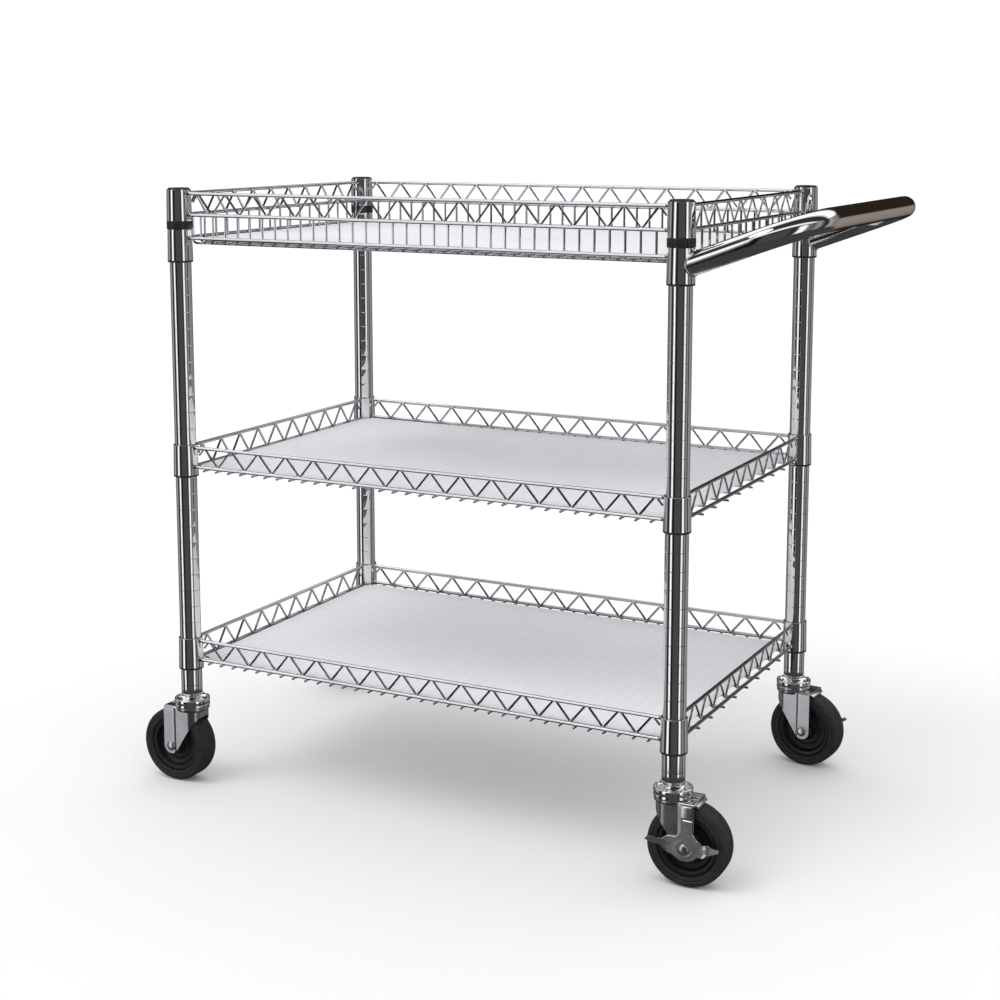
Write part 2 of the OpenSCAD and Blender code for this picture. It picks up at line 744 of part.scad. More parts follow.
post(-1, -1);  // post_front_left
post(1, -1);  // post_front_right
post(-1, 1);  // post_back_left
post(1, 1);  // post_back_right
post_caps();
caster_sockets();
sleeves(post_top_z, band_h);  // tray_rim_sleeves
sleeves(foot_collar_z, sleeve_rim_h);  // tray_foot_sleeves
sleeves(middle_shelf_h, sleeve_rim_h);  // middle_sleeves
sleeves(lower_shelf_h, sleeve_rim_h);  // lower_sleeves
collars(post_top_z);  // tray_rim_collars
collars(foot_collar_z);  // tray_foot_collars
collars(middle_shelf_h);  // middle_collars
collars(lower_shelf_h);  // lower_collars
tray_rim_rails();
tray_floor_rails();
tray_zigzags();
tray_cross_wires();
tray_long_wires();
shelf_rails(middle_shelf_h);  // middle_rails
shelf_zigzags(middle_shelf_h);  // middle_zigzags
shelf_cross_wires(middle_shelf_h);  // middle_cross_wires
shelf_long_wires(middle_shelf_h);  // middle_long_wires
shelf_rails(lower_shelf_h);  // lower_rails
shelf_zigzags(lower_shelf_h);  // lower_zigzags
shelf_cross_wires(lower_shelf_h);  // lower_cross_wires
shelf_long_wires(lower_shelf_h);  // lower_long_wires
liner(tray_cross_z);  // tray_liner
liner(cross_wire_z(middle_shelf_h));  // middle_liner
liner(cross_wire_z(lower_shelf_h));  // lower_liner
handle_tube();
caster_stems();
caster_races();
race_balls();
at_caster(-1, -1, trail_fl) fork();  // fork_front_left
at_caster(1, -1, trail_fr) fork(-1);  // fork_front_right
at_caster(-1, 1, trail_bl) fork();  // fork_back_left
at_caster(1, 1, trail_br) fork(1);  // fork_back_right
at_caster(-1, -1, trail_fl) axle(1);  // axle_front_left
at_caster(1, -1, trail_fr) axle(-1, -1);  // axle_front_right
at_caster(-1, 1, trail_bl) axle(1);  // axle_back_left
at_caster(1, 1, trail_br) axle(-1, 1);  // axle_back_right
at_caster(-1, -1, trail_fl) bush();  // bush_front_left
at_caster(1, -1, trail_fr) bush();  // bush_front_right
at_caster(-1, 1, trail_bl) bush();  // bush_back_left
at_caster(1, 1, trail_br) bush();  // bush_back_right
at_caster(-1, -1, trail_fl) hub();  // hub_front_left
at_caster(1, -1, trail_fr) hub();  // hub_front_right
at_caster(-1, 1, trail_bl) hub();  // hub_back_left
at_caster(1, 1, trail_br) hub();  // hub_back_right
at_caster(-1, -1, trail_fl) tyre();  // tyre_front_left
at_caster(1, -1, trail_fr) tyre();  // tyre_front_right
at_caster(-1, 1, trail_bl) tyre();  // tyre_back_left
at_caster(1, 1, trail_br) tyre();  // tyre_back_right
at_caster(1, -1, trail_fr) pedal(-1, pedal_rock);  // pedal_front_right
at_caster(1, 1, trail_br) pedal(1, -pedal_rock);  // pedal_back_right
at_caster(1, -1, trail_fr) shoe(-1);  // shoe_front_right
at_caster(1, 1, trail_br) shoe(1);  // shoe_back_right
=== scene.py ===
"""Wire shelf cart: chrome posts and wire shelves, frosted liners, push handle and four casters.

Every size below is in millimetres, as in the part's source. A shape is worked out in the cart's
own millimetre frame, whose origin is on the floor under the middle of the four posts, and is
turned into metres in the row frame when its mesh is made. Places come from the CAD nodes' boxes.
"""

import math

import bmesh
import bpy
import numpy as np
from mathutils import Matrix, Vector


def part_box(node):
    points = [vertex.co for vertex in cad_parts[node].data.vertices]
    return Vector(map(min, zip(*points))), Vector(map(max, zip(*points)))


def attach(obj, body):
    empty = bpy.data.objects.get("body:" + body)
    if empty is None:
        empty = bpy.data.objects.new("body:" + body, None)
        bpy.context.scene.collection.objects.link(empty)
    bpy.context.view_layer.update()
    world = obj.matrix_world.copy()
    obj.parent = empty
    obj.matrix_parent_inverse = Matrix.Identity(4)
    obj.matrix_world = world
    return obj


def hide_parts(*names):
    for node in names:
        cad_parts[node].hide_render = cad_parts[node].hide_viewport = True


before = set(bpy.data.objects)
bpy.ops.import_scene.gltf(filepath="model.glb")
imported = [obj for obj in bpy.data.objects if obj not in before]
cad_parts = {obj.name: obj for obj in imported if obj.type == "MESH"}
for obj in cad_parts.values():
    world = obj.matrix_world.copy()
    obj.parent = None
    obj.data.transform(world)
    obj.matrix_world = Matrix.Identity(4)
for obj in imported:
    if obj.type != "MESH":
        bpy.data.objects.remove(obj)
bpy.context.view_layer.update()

# ---- camera -----------------------------------------------------------------------------

CAMERA_AT = (1.0396, -2.0765, 0.8965)
CAMERA_TURN = -0.4779  # radians from +Y towards +X
CAMERA_DIP = 0.1490  # radians below the horizon


def add_camera():
    """A level camera that looks along (sin a cos d, cos a cos d, -sin d)."""
    data = bpy.data.cameras.new("camera")
    data.lens = 63.6
    data.sensor_width = 36.0
    data.shift_x, data.shift_y = -0.004, -0.12
    data.clip_start, data.clip_end = 0.05, 60.0
    camera = bpy.data.objects.new("camera", data)
    bpy.context.scene.collection.objects.link(camera)
    flat = math.cos(CAMERA_DIP)
    look = Vector(
        (math.sin(CAMERA_TURN) * flat, math.cos(CAMERA_TURN) * flat, -math.sin(CAMERA_DIP))
    )
    camera.location = CAMERA_AT
    camera.rotation_euler = look.to_track_quat("-Z", "Y").to_euler()
    bpy.context.scene.camera = camera


add_camera()

# ---- sizes ------------------------------------------------------------------------------

MM = 0.001


def box_mm(node):
    """A CAD node's lowest and highest corners in millimetres."""
    low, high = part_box(node)
    return np.array(low) / MM, np.array(high) / MM


def middle_of(node):
    low, high = box_mm(node)
    return (low + high) / 2


CORNERS = {
    "front_left": (-1, -1),
    "front_right": (1, -1),
    "back_left": (-1, 1),
    "back_right": (1, 1),
}
POSTS = {p: middle_of("post_" + p) for p in CORNERS}
HOME = sum(POSTS.values()) / 4 * (1, 1, 0)
SPAN_X = POSTS["front_right"][0] - POSTS["front_left"][0]
SPAN_Y = POSTS["back_left"][1] - POSTS["front_left"][1]
POST_BOTTOM, POST_TOP = (box_mm("post_front_left")[k][2] for k in (0, 1))

POST_R, POST_WALL = 14.0, 1.5
GROOVE_PITCH, GROOVE_DEPTH = 22.0, 0.16
COLLAR_TOP_R, COLLAR_BOTTOM_R, COLLAR_H, COLLAR_INNER_R = 15.7, 16.5, 41.0, 14.6
RAIL_R, ZIG_R, WIRE_R, WELD = 2.3, 1.5, 1.5, 0.03
ZIG_PITCH, ZIG_BEND, ZIG_INSET = 42.9, 3.0, 2.0
CROSS_PITCH, LONG_PITCH, TRAY_LONG_PITCH, TRAY_BEND = 19.3, 43.0, 25.0, 5.0
CORNER_GAP, WIRE_TAIL = 6.0, 1.6
LINER_EDGE, LINER_NOTCH_R = 10.5, 24.0
HANDLE_R, HANDLE_WALL, HANDLE_BEND = 13.5, 1.5, 70.0
HANDLE_REACH, HANDLE_RISE, HANDLE_DROP = 150.0, 55.0, 75.0
HANDLE_GAP, BEAD_GAP, BEAD_R, BEAD_LUMP = 0.05, 0.5, 1.3, 0.15
TRAIL, AXLE_Z = 22.0, 50.0
LEG_IN, LEG_OUT, LEG_END_R, CREASE = 18.0, 20.5, 11.0, 0.7
LEG_MID, LEG_HALF = (LEG_IN + LEG_OUT) / 2, (LEG_OUT - LEG_IN) / 2
FORK_FRONT, FORK_FRONT_LOW, FORK_UNDER, FORK_TOP = 18.5, 93.2, 103.2, 105.7
FORK_CORNER_R, FORK_TOP_BEND, WINDOW_SILL, WINDOW_REACH = 12.5, 3.0, 99.4, (17.0, 32.0)
PEDAL_IN, BRAKE_T, PEDAL_ROCK = 21.0, 1.8, 2.0
EAR_FRONT, EAR_W, EAR_LOW = 4.0, 13.0, 88.4

WIRES_X = SPAN_X / 2 - COLLAR_BOTTOM_R - CORNER_GAP
WIRES_Y = SPAN_Y / 2 - COLLAR_BOTTOM_R - CORNER_GAP


def corner_places(z=0.0):
    """The four posts' places at one height, in the order of CORNERS."""
    return [(sx * SPAN_X / 2, sy * SPAN_Y / 2, z) for sx, sy in CORNERS.values()]


def top_of(node):
    return box_mm(node)[1][2]


# ---- surfaces ---------------------------------------------------------------------------


def unit(v):
    return v / np.linalg.norm(v, axis=-1, keepdims=True)


def grid(rows, wrap_u=False, wrap_v=True):
    """Points and quads of a surface given as an array [u, v, xyz], closed along u or v or both."""
    nu, nv = rows.shape[:2]
    u, v = np.meshgrid(
        np.arange(nu if wrap_u else nu - 1), np.arange(nv if wrap_v else nv - 1), indexing="ij"
    )
    after_u, after_v = (u + 1) % nu, (v + 1) % nv
    quads = np.stack([u * nv + v, after_u * nv + v, after_u * nv + after_v, u * nv + after_v], -1)
    return rows.reshape(-1, 3), quads.reshape(-1, 4)


def revolve(profile, sides=64, ring=False):
    """A profile of (radius, height) turned about Z: (r, h) at angle a is (r cos a, r sin a, h).
    ring closes the profile on itself; otherwise it begins and ends on the axis."""
    p = np.asarray(profile, float)
    a = np.linspace(0, 2 * np.pi, sides, endpoint=False)
    rows = np.stack(
        [p[:, :1] * np.cos(a), p[:, :1] * np.sin(a), np.repeat(p[:, 1:], sides, 1)], -1
    )
    return grid(rows, wrap_u=ring)


def rounded(points, radius, steps=6, closed=False):
    """A polyline with its corners turned into arcs. Each arc has its centre where the corner's
    bisector is radius / sin(half angle) away, and turns one spoke into the other in even steps."""
    p = np.asarray(points, float)
    u, v = unit(np.roll(p, 1, 0) - p), unit(np.roll(p, -1, 0) - p)
    q = p
    if not closed:
        q, u, v = p[1:-1], u[1:-1], v[1:-1]
    half = np.arccos(np.clip((u * v).sum(-1, keepdims=True), -1, 1)) / 2
    r = np.broadcast_to(np.asarray(radius, float).reshape(-1, 1), half.shape)
    centre = q + unit(u + v) * r / np.sin(half)
    a, b = q + u * r / np.tan(half) - centre, q + v * r / np.tan(half) - centre
    turn = (np.pi - 2 * half)[:, None]
    t = np.linspace(0, 1, steps)[None, :, None]
    arc = np.sin((1 - t) * turn) * a[:, None] + np.sin(t * turn) * b[:, None]
    arc = (centre[:, None] + arc / np.sin(turn)).reshape(-1, p.shape[1])
    return arc if closed else np.vstack([p[:1], arc, p[-1:]])


def bar(path, radius, across, sides=10, dome=0.4):
    """A round bar along a path that lies in a plane: the ring at each point is
    radius (cos a across + sin a side), where side is square to the path in its plane.
    The ends are domes of four rings that close on the path's line."""
    p = np.asarray(path, float)
    r = np.broadcast_to(np.asarray(radius, float), len(p)).astype(float)
    along = unit(np.gradient(p, axis=0))
    shrink, push = np.array([0.0, 0.5, 0.85, 1.0]), np.array([1.0, 0.8, 0.4, 0.0])
    p = np.vstack([
        p[:1] - along[:1] * (push * dome * r[0])[:, None],
        p[1:-1],
        p[-1:] + along[-1:] * (push[::-1] * dome * r[-1])[:, None],
    ])
    r = np.concatenate([shrink * r[0], r[1:-1], shrink[::-1] * r[-1]])
    along = np.vstack([along[:1]] * 4 + [along[1:-1]] + [along[-1:]] * 4)
    across = np.asarray(across, float)
    side = np.cross(along, across)
    a = np.linspace(0, 2 * np.pi, sides, endpoint=False)[None, :, None]
    rows = p[:, None] + r[:, None, None] * (np.cos(a) * across + np.sin(a) * side[:, None])
    return grid(rows)


def rod(start, end, radius, sides=12, flare=0.0, flare_l=4.0):
    """A straight bar whose radius grows by flare over its last flare_l at either end, as
    r + flare (1 - s)^2 with s the distance from the end over flare_l: the fillet of a weld."""
    start, end = np.asarray(start, float), np.asarray(end, float)
    length = np.linalg.norm(end - start)
    s = np.array([0, 0.25, 0.5, 1.0]) * flare_l
    at = np.concatenate([s, length - s[::-1]]) if flare else np.array([0, length / 2, length])
    near = np.clip(np.minimum(at, length - at) / flare_l, 0, 1)
    along = unit(end - start)
    across = np.cross(along, (0, 0, 1)) if abs(along[2]) < 0.9 else np.array((1.0, 0, 0))
    path = start + along * at[:, None]
    return bar(path, radius + flare * (1 - near) ** 2, unit(across), sides, 0.15 if flare else 0.4)


def prism(outline, low, high, soft=0.3):
    """A closed outline in XY raised from low to high, its edges softened by a ring that is
    drawn in by soft along the outline's own normals. The two ends are single flat faces."""
    p = np.asarray(outline, float)
    area = (p[:, 0] * np.roll(p[:, 1], -1) - np.roll(p[:, 0], -1) * p[:, 1]).sum()
    p = p if area > 0 else p[::-1]
    e = unit(np.roll(p, -1, 0) - p)
    n = np.stack([e[:, 1], -e[:, 0]], -1)
    n = unit(n + np.roll(n, 1, 0))
    heights = [(soft, low), (soft * 0.3, low + soft * 0.3), (0, low + soft)]
    heights += [(0, high - soft), (soft * 0.3, high - soft * 0.3), (soft, high)]
    rows = np.stack(
        [np.column_stack([p - n * inset, np.full(len(p), z)]) for inset, z in heights]
    )
    points, quads = grid(rows)
    count = len(p)
    ends = [list(range(count))[::-1], list(range(5 * count, 6 * count))]
    return points, quads.tolist() + ends


def copies(part, places):
    """The same surface at several places: its points plus each place."""
    points, faces = part
    places = np.asarray(places, float)
    faces = np.asarray(faces)
    shift = len(points) * np.arange(len(places))[:, None, None]
    return (points + places[:, None]).reshape(-1, 3), (faces + shift).reshape(-1, faces.shape[1])


def moved(part, matrix=None, by=(0, 0, 0)):
    """A surface's points turned by a 3 x 3 matrix and then shifted."""
    points, faces = part
    points = points if matrix is None else points @ np.asarray(matrix, float).T
    return points + np.asarray(by, float), faces


def about_z(degrees):
    c, s = math.cos(math.radians(degrees)), math.sin(math.radians(degrees))
    return np.array([[c, -s, 0], [s, c, 0], [0, 0, 1]])


SWAP_XY = np.array([[0, 1, 0], [1, 0, 0], [0, 0, 1]])
AXLE_WAY = np.array([[1, 0, 0], [0, 0, -1], [0, 1, 0]])  # Z to -Y and Y to Z


def make(name, parts, finish, body, nodes=(), sharp=35.0):
    """One piece from several closed surfaces: doubles and poles merged, faces turned outwards,
    smooth but for edges sharper than the given angle. It stands for the named CAD nodes."""
    points, faces, count = [], [], 0
    for part_points, part_faces in parts:
        points.append(part_points)
        if isinstance(part_faces, np.ndarray):
            faces += (part_faces + count).tolist()
        else:
            faces += [[k + count for k in face] for face in part_faces]
        count += len(part_points)
    mesh = bpy.data.meshes.new(name)
    mesh.from_pydata((np.vstack(points) + HOME) * MM, [], faces)
    work = bmesh.new()
    work.from_mesh(mesh)
    bmesh.ops.remove_doubles(work, verts=work.verts, dist=1e-6)
    bmesh.ops.dissolve_degenerate(work, edges=work.edges, dist=1e-7)
    bmesh.ops.recalc_face_normals(work, faces=work.faces)
    work.to_mesh(mesh)
    work.free()
    mesh.shade_smooth()
    mesh.set_sharp_from_angle(angle=math.radians(sharp))
    mesh.materials.append(finish)
    piece = bpy.data.objects.new(name, mesh)
    bpy.context.scene.collection.objects.link(piece)
    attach(piece, body)
    if nodes:
        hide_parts(*nodes)
    return piece


# ---- finishes ---------------------------------------------------------------------------


class Nodes:
    """Short calls for building a node tree."""

    def __init__(self, tree):
        self.tree = tree

    def add(self, kind, inputs=None, **settings):
        node = self.tree.nodes.new(kind)
        for key, value in settings.items():
            setattr(node, key, value)
        for key, value in (inputs or {}).items():
            self.feed(node.inputs[key], value)
        return node

    def feed(self, socket, value):
        """Links an output to a socket, or sets a plain value on it."""
        if isinstance(value, bpy.types.NodeSocket):
            self.tree.links.new(value, socket)
        else:
            socket.default_value = value

    def math(self, operation, a, b=0.0, clamp=False):
        node = self.add("ShaderNodeMath", {0: a, 1: b}, operation=operation, use_clamp=clamp)
        return node.outputs[0]

    def span(self, value, low, high, to_low=0.0, to_high=1.0, smooth=False):
        kind = "SMOOTHSTEP" if smooth else "LINEAR"
        inputs = {0: value, 1: low, 2: high, 3: to_low, 4: to_high}
        return self.add("ShaderNodeMapRange", inputs, interpolation_type=kind).outputs[0]

    def noise(self, where, scale, detail=3.0, roughness=0.55):
        inputs = {"Vector": where, "Scale": scale, "Detail": detail, "Roughness": roughness}
        return self.add("ShaderNodeTexNoise", inputs).outputs[0]

    def stretch(self, where, scale):
        return self.add("ShaderNodeMapping", {"Vector": where, "Scale": scale}).outputs[0]

    def blend(self, share, a, b):
        """The colour a where share is 0 and b where it is 1."""
        return self.add("ShaderNodeMix", {0: share, 6: a, 7: b}, data_type="RGBA").outputs[2]

    def bump(self, shader, height, strength, depth):
        inputs = {"Height": height, "Strength": strength, "Distance": depth}
        self.feed(shader.inputs["Normal"], self.add("ShaderNodeBump", inputs).outputs[0])


def new_group(name, ins, outs):
    """An empty shader group with named inputs (name, kind, value) and outputs (name, kind)."""
    tree = bpy.data.node_groups.new(name, "ShaderNodeTree")
    for label, kind, value in ins:
        socket = tree.interface.new_socket(label, in_out="INPUT", socket_type="NodeSocket" + kind)
        socket.default_value = value
    for label, kind in outs:
        tree.interface.new_socket(label, in_out="OUTPUT", socket_type="NodeSocket" + kind)
    return tree, Nodes(tree), tree.nodes.new("NodeGroupInput"), tree.nodes.new("NodeGroupOutput")


def group_plated_skin():
    """The skin of a plated or painted surface: broad cloudy patches, fine smudges, and hairline
    scratches from a noise stretched along each axis in turn and cut to its peaks.
    Roughness is Smooth + Smudge * patches + Scratch * hairlines; Height carries the hairlines and
    a slow ripple; Tint darkens the colour in the patches."""
    tree, n, given, out = new_group(
        "plated_skin",
        [
            ("Smooth", "Float", 0.06), ("Smudge", "Float", 0.06), ("Scratch", "Float", 0.1),
            ("Ripple", "Float", 0.2), ("Scale", "Float", 1.0),
        ],
        [("Roughness", "Float"), ("Height", "Float"), ("Tint", "Float")],
    )
    where = n.add("ShaderNodeTexCoord").outputs["Object"]
    sized = {0: where, "Scale": given.outputs["Scale"]}
    where = n.add("ShaderNodeVectorMath", sized, operation="SCALE").outputs[0]
    patches = n.span(n.noise(where, 14.0, 4.0), 0.42, 0.68, smooth=True)
    grease = n.span(n.noise(where, 70.0, 5.0, 0.65), 0.5, 0.75, smooth=True)
    smudge = n.math("ADD", patches, n.math("MULTIPLY", grease, 0.6))
    smudge = n.math("MULTIPLY", smudge, given.outputs["Smudge"])
    lines = None
    for scale in ((900, 900, 22), (900, 30, 900), (26, 900, 900)):
        hair = n.span(n.noise(n.stretch(where, scale), 1.0, 2.0), 0.66, 0.74)
        lines = hair if lines is None else n.math("MAXIMUM", lines, hair)
    gate = n.span(n.noise(where, 35.0, 2.0), 0.5, 0.66, smooth=True)
    lines = n.math("MULTIPLY", lines, gate)
    rough = n.math("ADD", given.outputs["Smooth"], smudge)
    rough = n.math("ADD", rough, n.math("MULTIPLY", lines, given.outputs["Scratch"]), clamp=True)
    ripple = n.math("MULTIPLY", n.noise(where, 90.0, 1.0), given.outputs["Ripple"])
    height = n.math("SUBTRACT", ripple, n.math("MULTIPLY", lines, 0.25))
    n.feed(out.inputs["Roughness"], rough)
    n.feed(out.inputs["Height"], height)
    n.feed(out.inputs["Tint"], n.math("MULTIPLY", patches, 0.12))
    return tree


def group_moulded_grain():
    """A moulded plastic or rubber skin: a fine pebble from a cell pattern, a duller cloud,
    and light rub marks where both clouds are high. Dust is the share of pale dust, in patches of its
    own."""
    tree, n, given, out = new_group(
        "moulded_grain",
        [
            ("Colour", "Color", (0.03, 0.03, 0.03, 1)),
            ("Rubbed", "Color", (0.09, 0.09, 0.09, 1)),
            ("Grain Size", "Float", 900.0), ("Smooth", "Float", 0.45), ("Dust", "Float", 0.15),
        ],
        [("Colour", "Color"), ("Roughness", "Float"), ("Height", "Float")],
    )
    where = n.add("ShaderNodeTexCoord").outputs["Object"]
    sized = {"Vector": where, "Scale": given.outputs["Grain Size"]}
    pebble = n.add("ShaderNodeTexVoronoi", sized, feature="SMOOTH_F1").outputs["Distance"]
    cloud = n.span(n.noise(where, 28.0, 4.0), 0.4, 0.7, smooth=True)
    rub = n.math("MULTIPLY", cloud, n.span(n.noise(where, 160.0, 3.0), 0.52, 0.7, smooth=True))
    dust = n.math("MULTIPLY", n.span(n.noise(where, 60.0, 5.0), 0.35, 0.75), given.outputs["Dust"])
    share = n.math("ADD", n.math("MULTIPLY", rub, 0.5), dust, clamp=True)
    colour = n.blend(share, given.outputs["Colour"], given.outputs["Rubbed"])
    rough = n.math("ADD", given.outputs["Smooth"], n.math("MULTIPLY", cloud, 0.14), clamp=True)
    n.feed(out.inputs["Colour"], colour)
    n.feed(out.inputs["Roughness"], rough)
    n.feed(out.inputs["Height"], n.math("MULTIPLY", pebble, 0.6))
    return tree


PLATED_SKIN = group_plated_skin()
MOULDED_GRAIN = group_moulded_grain()


def start_finish(name, **sockets):
    """A material with one Principled shader whose plain values are set on its own sockets."""
    finish = bpy.data.materials.new(name)
    finish.use_nodes = True
    n = Nodes(finish.node_tree)
    shader = finish.node_tree.nodes["Principled BSDF"]
    for key, value in sockets.items():
        shader.inputs[key.replace("_", " ")].default_value = value
    return finish, n, shader


def skinned(name, group, values, bump, depth, **sockets):
    """A material whose skin group, given its own named values, drives roughness and bump."""
    finish, n, shader = start_finish(name, **sockets)
    skin = n.add("ShaderNodeGroup", values, node_tree=group)
    n.feed(shader.inputs["Roughness"], skin.outputs["Roughness"])
    n.bump(shader, skin.outputs["Height"], bump, depth)
    return finish, n, shader.inputs["Base Color"], skin


def plated(name, colour, dull, smooth, smudge, scratch, ripple, scale=1.0, bump=0.05):
    """Bright plating, whose colour goes towards the dull one by the skin's tint."""
    values = {"Smooth": smooth, "Smudge": smudge, "Scratch": scratch, "Ripple": ripple}
    values["Scale"] = scale
    finish, n, base, skin = skinned(name, PLATED_SKIN, values, bump, 0.0004, Metallic=1.0)
    n.feed(base, n.blend(skin.outputs["Tint"], (*colour, 1), (*dull, 1)))
    return finish


def moulded(name, black, rubbed, grain, smooth, dust, bump):
    """Moulded plastic or rubber, near black, whose colour comes from the grain."""
    values = {"Colour": (*black, 1), "Rubbed": (*rubbed, 1)}
    values.update({"Grain Size": grain, "Smooth": smooth, "Dust": dust})
    finish, n, base, skin = skinned(
        name, MOULDED_GRAIN, values, bump, 0.0003, Specular_IOR_Level=0.45
    )
    n.feed(base, skin.outputs["Colour"])
    return finish


def frosted_liner():
    """Frosted sheet: pale body with painted shade of the wires below, as if seen through it, as soft
    grey bars, which are 1 - |distance to the nearest wire| / width along X and along Y, and a fine
    haze of drag lines."""
    finish, n, shader = start_finish("frosted_sheet", IOR=1.49, Specular_IOR_Level=0.12)
    where = n.add("ShaderNodeTexCoord").outputs["Object"]
    to_middle = (-HOME[0] * MM, -HOME[1] * MM, 0)
    centred = n.add("ShaderNodeMapping", {"Vector": where, "Location": to_middle})
    split = n.add("ShaderNodeSeparateXYZ", {0: centred.outputs[0]})

    def bars(value, pitch, width, phase):
        turn = n.math("ADD", n.math("DIVIDE", value, pitch * MM), phase)
        away = n.math("ABSOLUTE", n.math("SUBTRACT", n.math("FRACT", turn), 0.5))
        return n.span(away, 0.0, width / pitch, 1.0, 0.0, smooth=True)

    def phase_of(reach, pitch):
        """0.5 where a wire runs along the middle, and 0 where the middle is between two."""
        return 0.0 if round(2 * reach // pitch) % 2 else 0.5

    # the bars are painted shade: the wires under the sheet, as if seen through it
    cross = bars(split.outputs[0], CROSS_PITCH, 3.4, phase_of(WIRES_X, CROSS_PITCH))
    along = bars(split.outputs[1], LONG_PITCH, 3.0, phase_of(WIRES_Y, LONG_PITCH))
    seen = n.math("MAXIMUM", cross, n.math("MULTIPLY", along, 0.55))
    haze = n.noise(n.stretch(where, (40, 700, 40)), 1.0, 3.0)
    cloud = n.noise(where, 9.0, 3.0)
    seen = n.math("MULTIPLY", seen, n.span(cloud, 0.3, 0.75, 0.10, 0.18))
    seen = n.math("ADD", seen, n.span(haze, 0.45, 0.75, 0.0, 0.10), clamp=True)
    # pale sheet going to grey: painted shade at the wire bars, and the sheet's own drag-line haze
    colour = n.blend(seen, (0.90, 0.905, 0.93, 1), (0.60, 0.62, 0.66, 1))
    n.feed(shader.inputs["Base Color"], colour)
    n.feed(shader.inputs["Roughness"], n.span(cloud, 0.3, 0.7, 0.42, 0.55))
    sag = n.math("ADD", n.math("MULTIPLY", cross, 0.5), n.math("MULTIPLY", haze, 0.2))
    n.bump(shader, sag, 0.25, 0.0006)
    return finish


def grey(level):
    return (level,) * 3


# The numbers after the two colours are smooth, smudge, scratch, ripple, scale and bump.
CHROME, CHROME_DULL = (0.82, 0.82, 0.83), (0.68, 0.67, 0.66)
CHROME_TUBE = plated("chrome_tube", CHROME, CHROME_DULL, 0.03, 0.04, 0.10, 0.06, bump=0.03)
CHROME_COLLAR = plated("chrome_collar", CHROME, CHROME_DULL, 0.03, 0.04, 0.12, 0.08, bump=0.03)
CHROME_WIRE = plated(
    "chrome_wire", (0.60, 0.60, 0.625), (0.42, 0.41, 0.40), 0.05, 0.06, 0.10, 0.15, bump=0.04
)
CHROME_HANDLE = plated(
    "chrome_handle", (0.82, 0.81, 0.81), (0.70, 0.68, 0.66), 0.025, 0.05, 0.12, 0.05, bump=0.03
)
RACE_PLATE = plated(
    "race_plate", grey(0.90), (0.74, 0.73, 0.72), 0.05, 0.05, 0.10, 0.10, scale=1.5, bump=0.03
)
FORK_PLATE = plated(
    "fork_plate", (0.47, 0.47, 0.48), grey(0.36), 0.23, 0.06, 0.10, 0.10, scale=1.3, bump=0.03
)
BRAKE_PLATE = plated(
    "brake_plate", (0.80, 0.79, 0.78), (0.60, 0.59, 0.57), 0.24, 0.06, 0.12, 0.10, 1.6, 0.03
)
BOLT_STEEL = plated(
    "bolt_steel", (0.66, 0.66, 0.67), (0.48, 0.47, 0.46), 0.22, 0.10, 0.15, 0.15, 2.0, 0.04
)
BALL_STEEL = plated("ball_steel", grey(0.78), grey(0.60), 0.08, 0.05, 0.1, 0.1, scale=2.0)
BUSH_BRASS = plated(
    "bush_brass", (0.72, 0.53, 0.24), (0.45, 0.33, 0.16), 0.3, 0.12, 0.2, 0.4, 2.0, 0.1
)

# The numbers after the two colours are grain, smooth, dust and bump.
BLACK_CLIP = moulded("black_clip", grey(0.012), grey(0.05), 2200.0, 0.38, 0.05, 0.12)
HUB_PLASTIC = moulded("hub_plastic", grey(0.008), grey(0.035), 1500.0, 0.38, 0.05, 0.12)
TYRE_RUBBER = moulded(
    "tyre_rubber", (0.016, 0.016, 0.0155), (0.055, 0.053, 0.050), 700.0, 0.58, 0.12, 0.25
)
FROSTED = frosted_liner()

# ---- posts, caps, collars and sleeves ---------------------------------------------------


def post_profile():
    """The tube's wall as a closed profile: outside with a smooth dip at every groove, whose depth
    follows exp(-(z / width)^2), a turned-in edge at either end, then straight back up the bore."""
    dip = np.linspace(-0.9, 0.9, 7)
    tall = POST_TOP - POST_BOTTOM
    centres = np.arange(GROOVE_PITCH, tall - GROOVE_PITCH / 2 + 0.01, GROOVE_PITCH)
    z = (centres[:, None] + dip).ravel()
    r = POST_R - GROOVE_DEPTH * np.tile(np.exp(-((dip / 0.4) ** 2)), len(centres))
    bore = POST_R - POST_WALL
    foot = [(bore, 0.3), (bore + 0.3, 0), (POST_R - 0.3, 0), (POST_R, 0.3)]
    head = [(POST_R, tall - 0.3), (POST_R - 0.3, tall), (bore, tall)]
    return np.vstack([foot, np.column_stack([r, z]), head]) + (0, POST_BOTTOM)


def make_posts():
    tube = revolve(post_profile(), 72, ring=True)
    for p, place in zip(CORNERS, corner_places()):
        part = moved(tube, by=place)
        make("grooved_post_" + p, [part], CHROME_TUBE, "frame", ["post_" + p], 50)


def make_caps():
    """Post caps: a plug, a flange that covers the tube's end, and a low dome with a soft edge."""
    seat = POST_TOP + 0.02
    dome = [(r, seat + 2.4 - 0.35 * (r / 11.0) ** 2) for r in (3.0, 6.0, 9.0, 11.0)]
    profile = [(0, seat - 12), (11.4, seat - 12), (12.4, seat - 11), (12.4, seat)]
    profile += [(13.8, seat + 0.05), (14.0, seat + 0.4), (14.0, seat + 1.2), (13.4, seat + 1.8)]
    profile += [(12.4, seat + 2.0)] + dome[::-1] + [(0, seat + 2.4)]
    part = copies(revolve(profile, 56), corner_places())
    make("moulded_post_caps", [part], BLACK_CLIP, "frame", ["post_caps"])


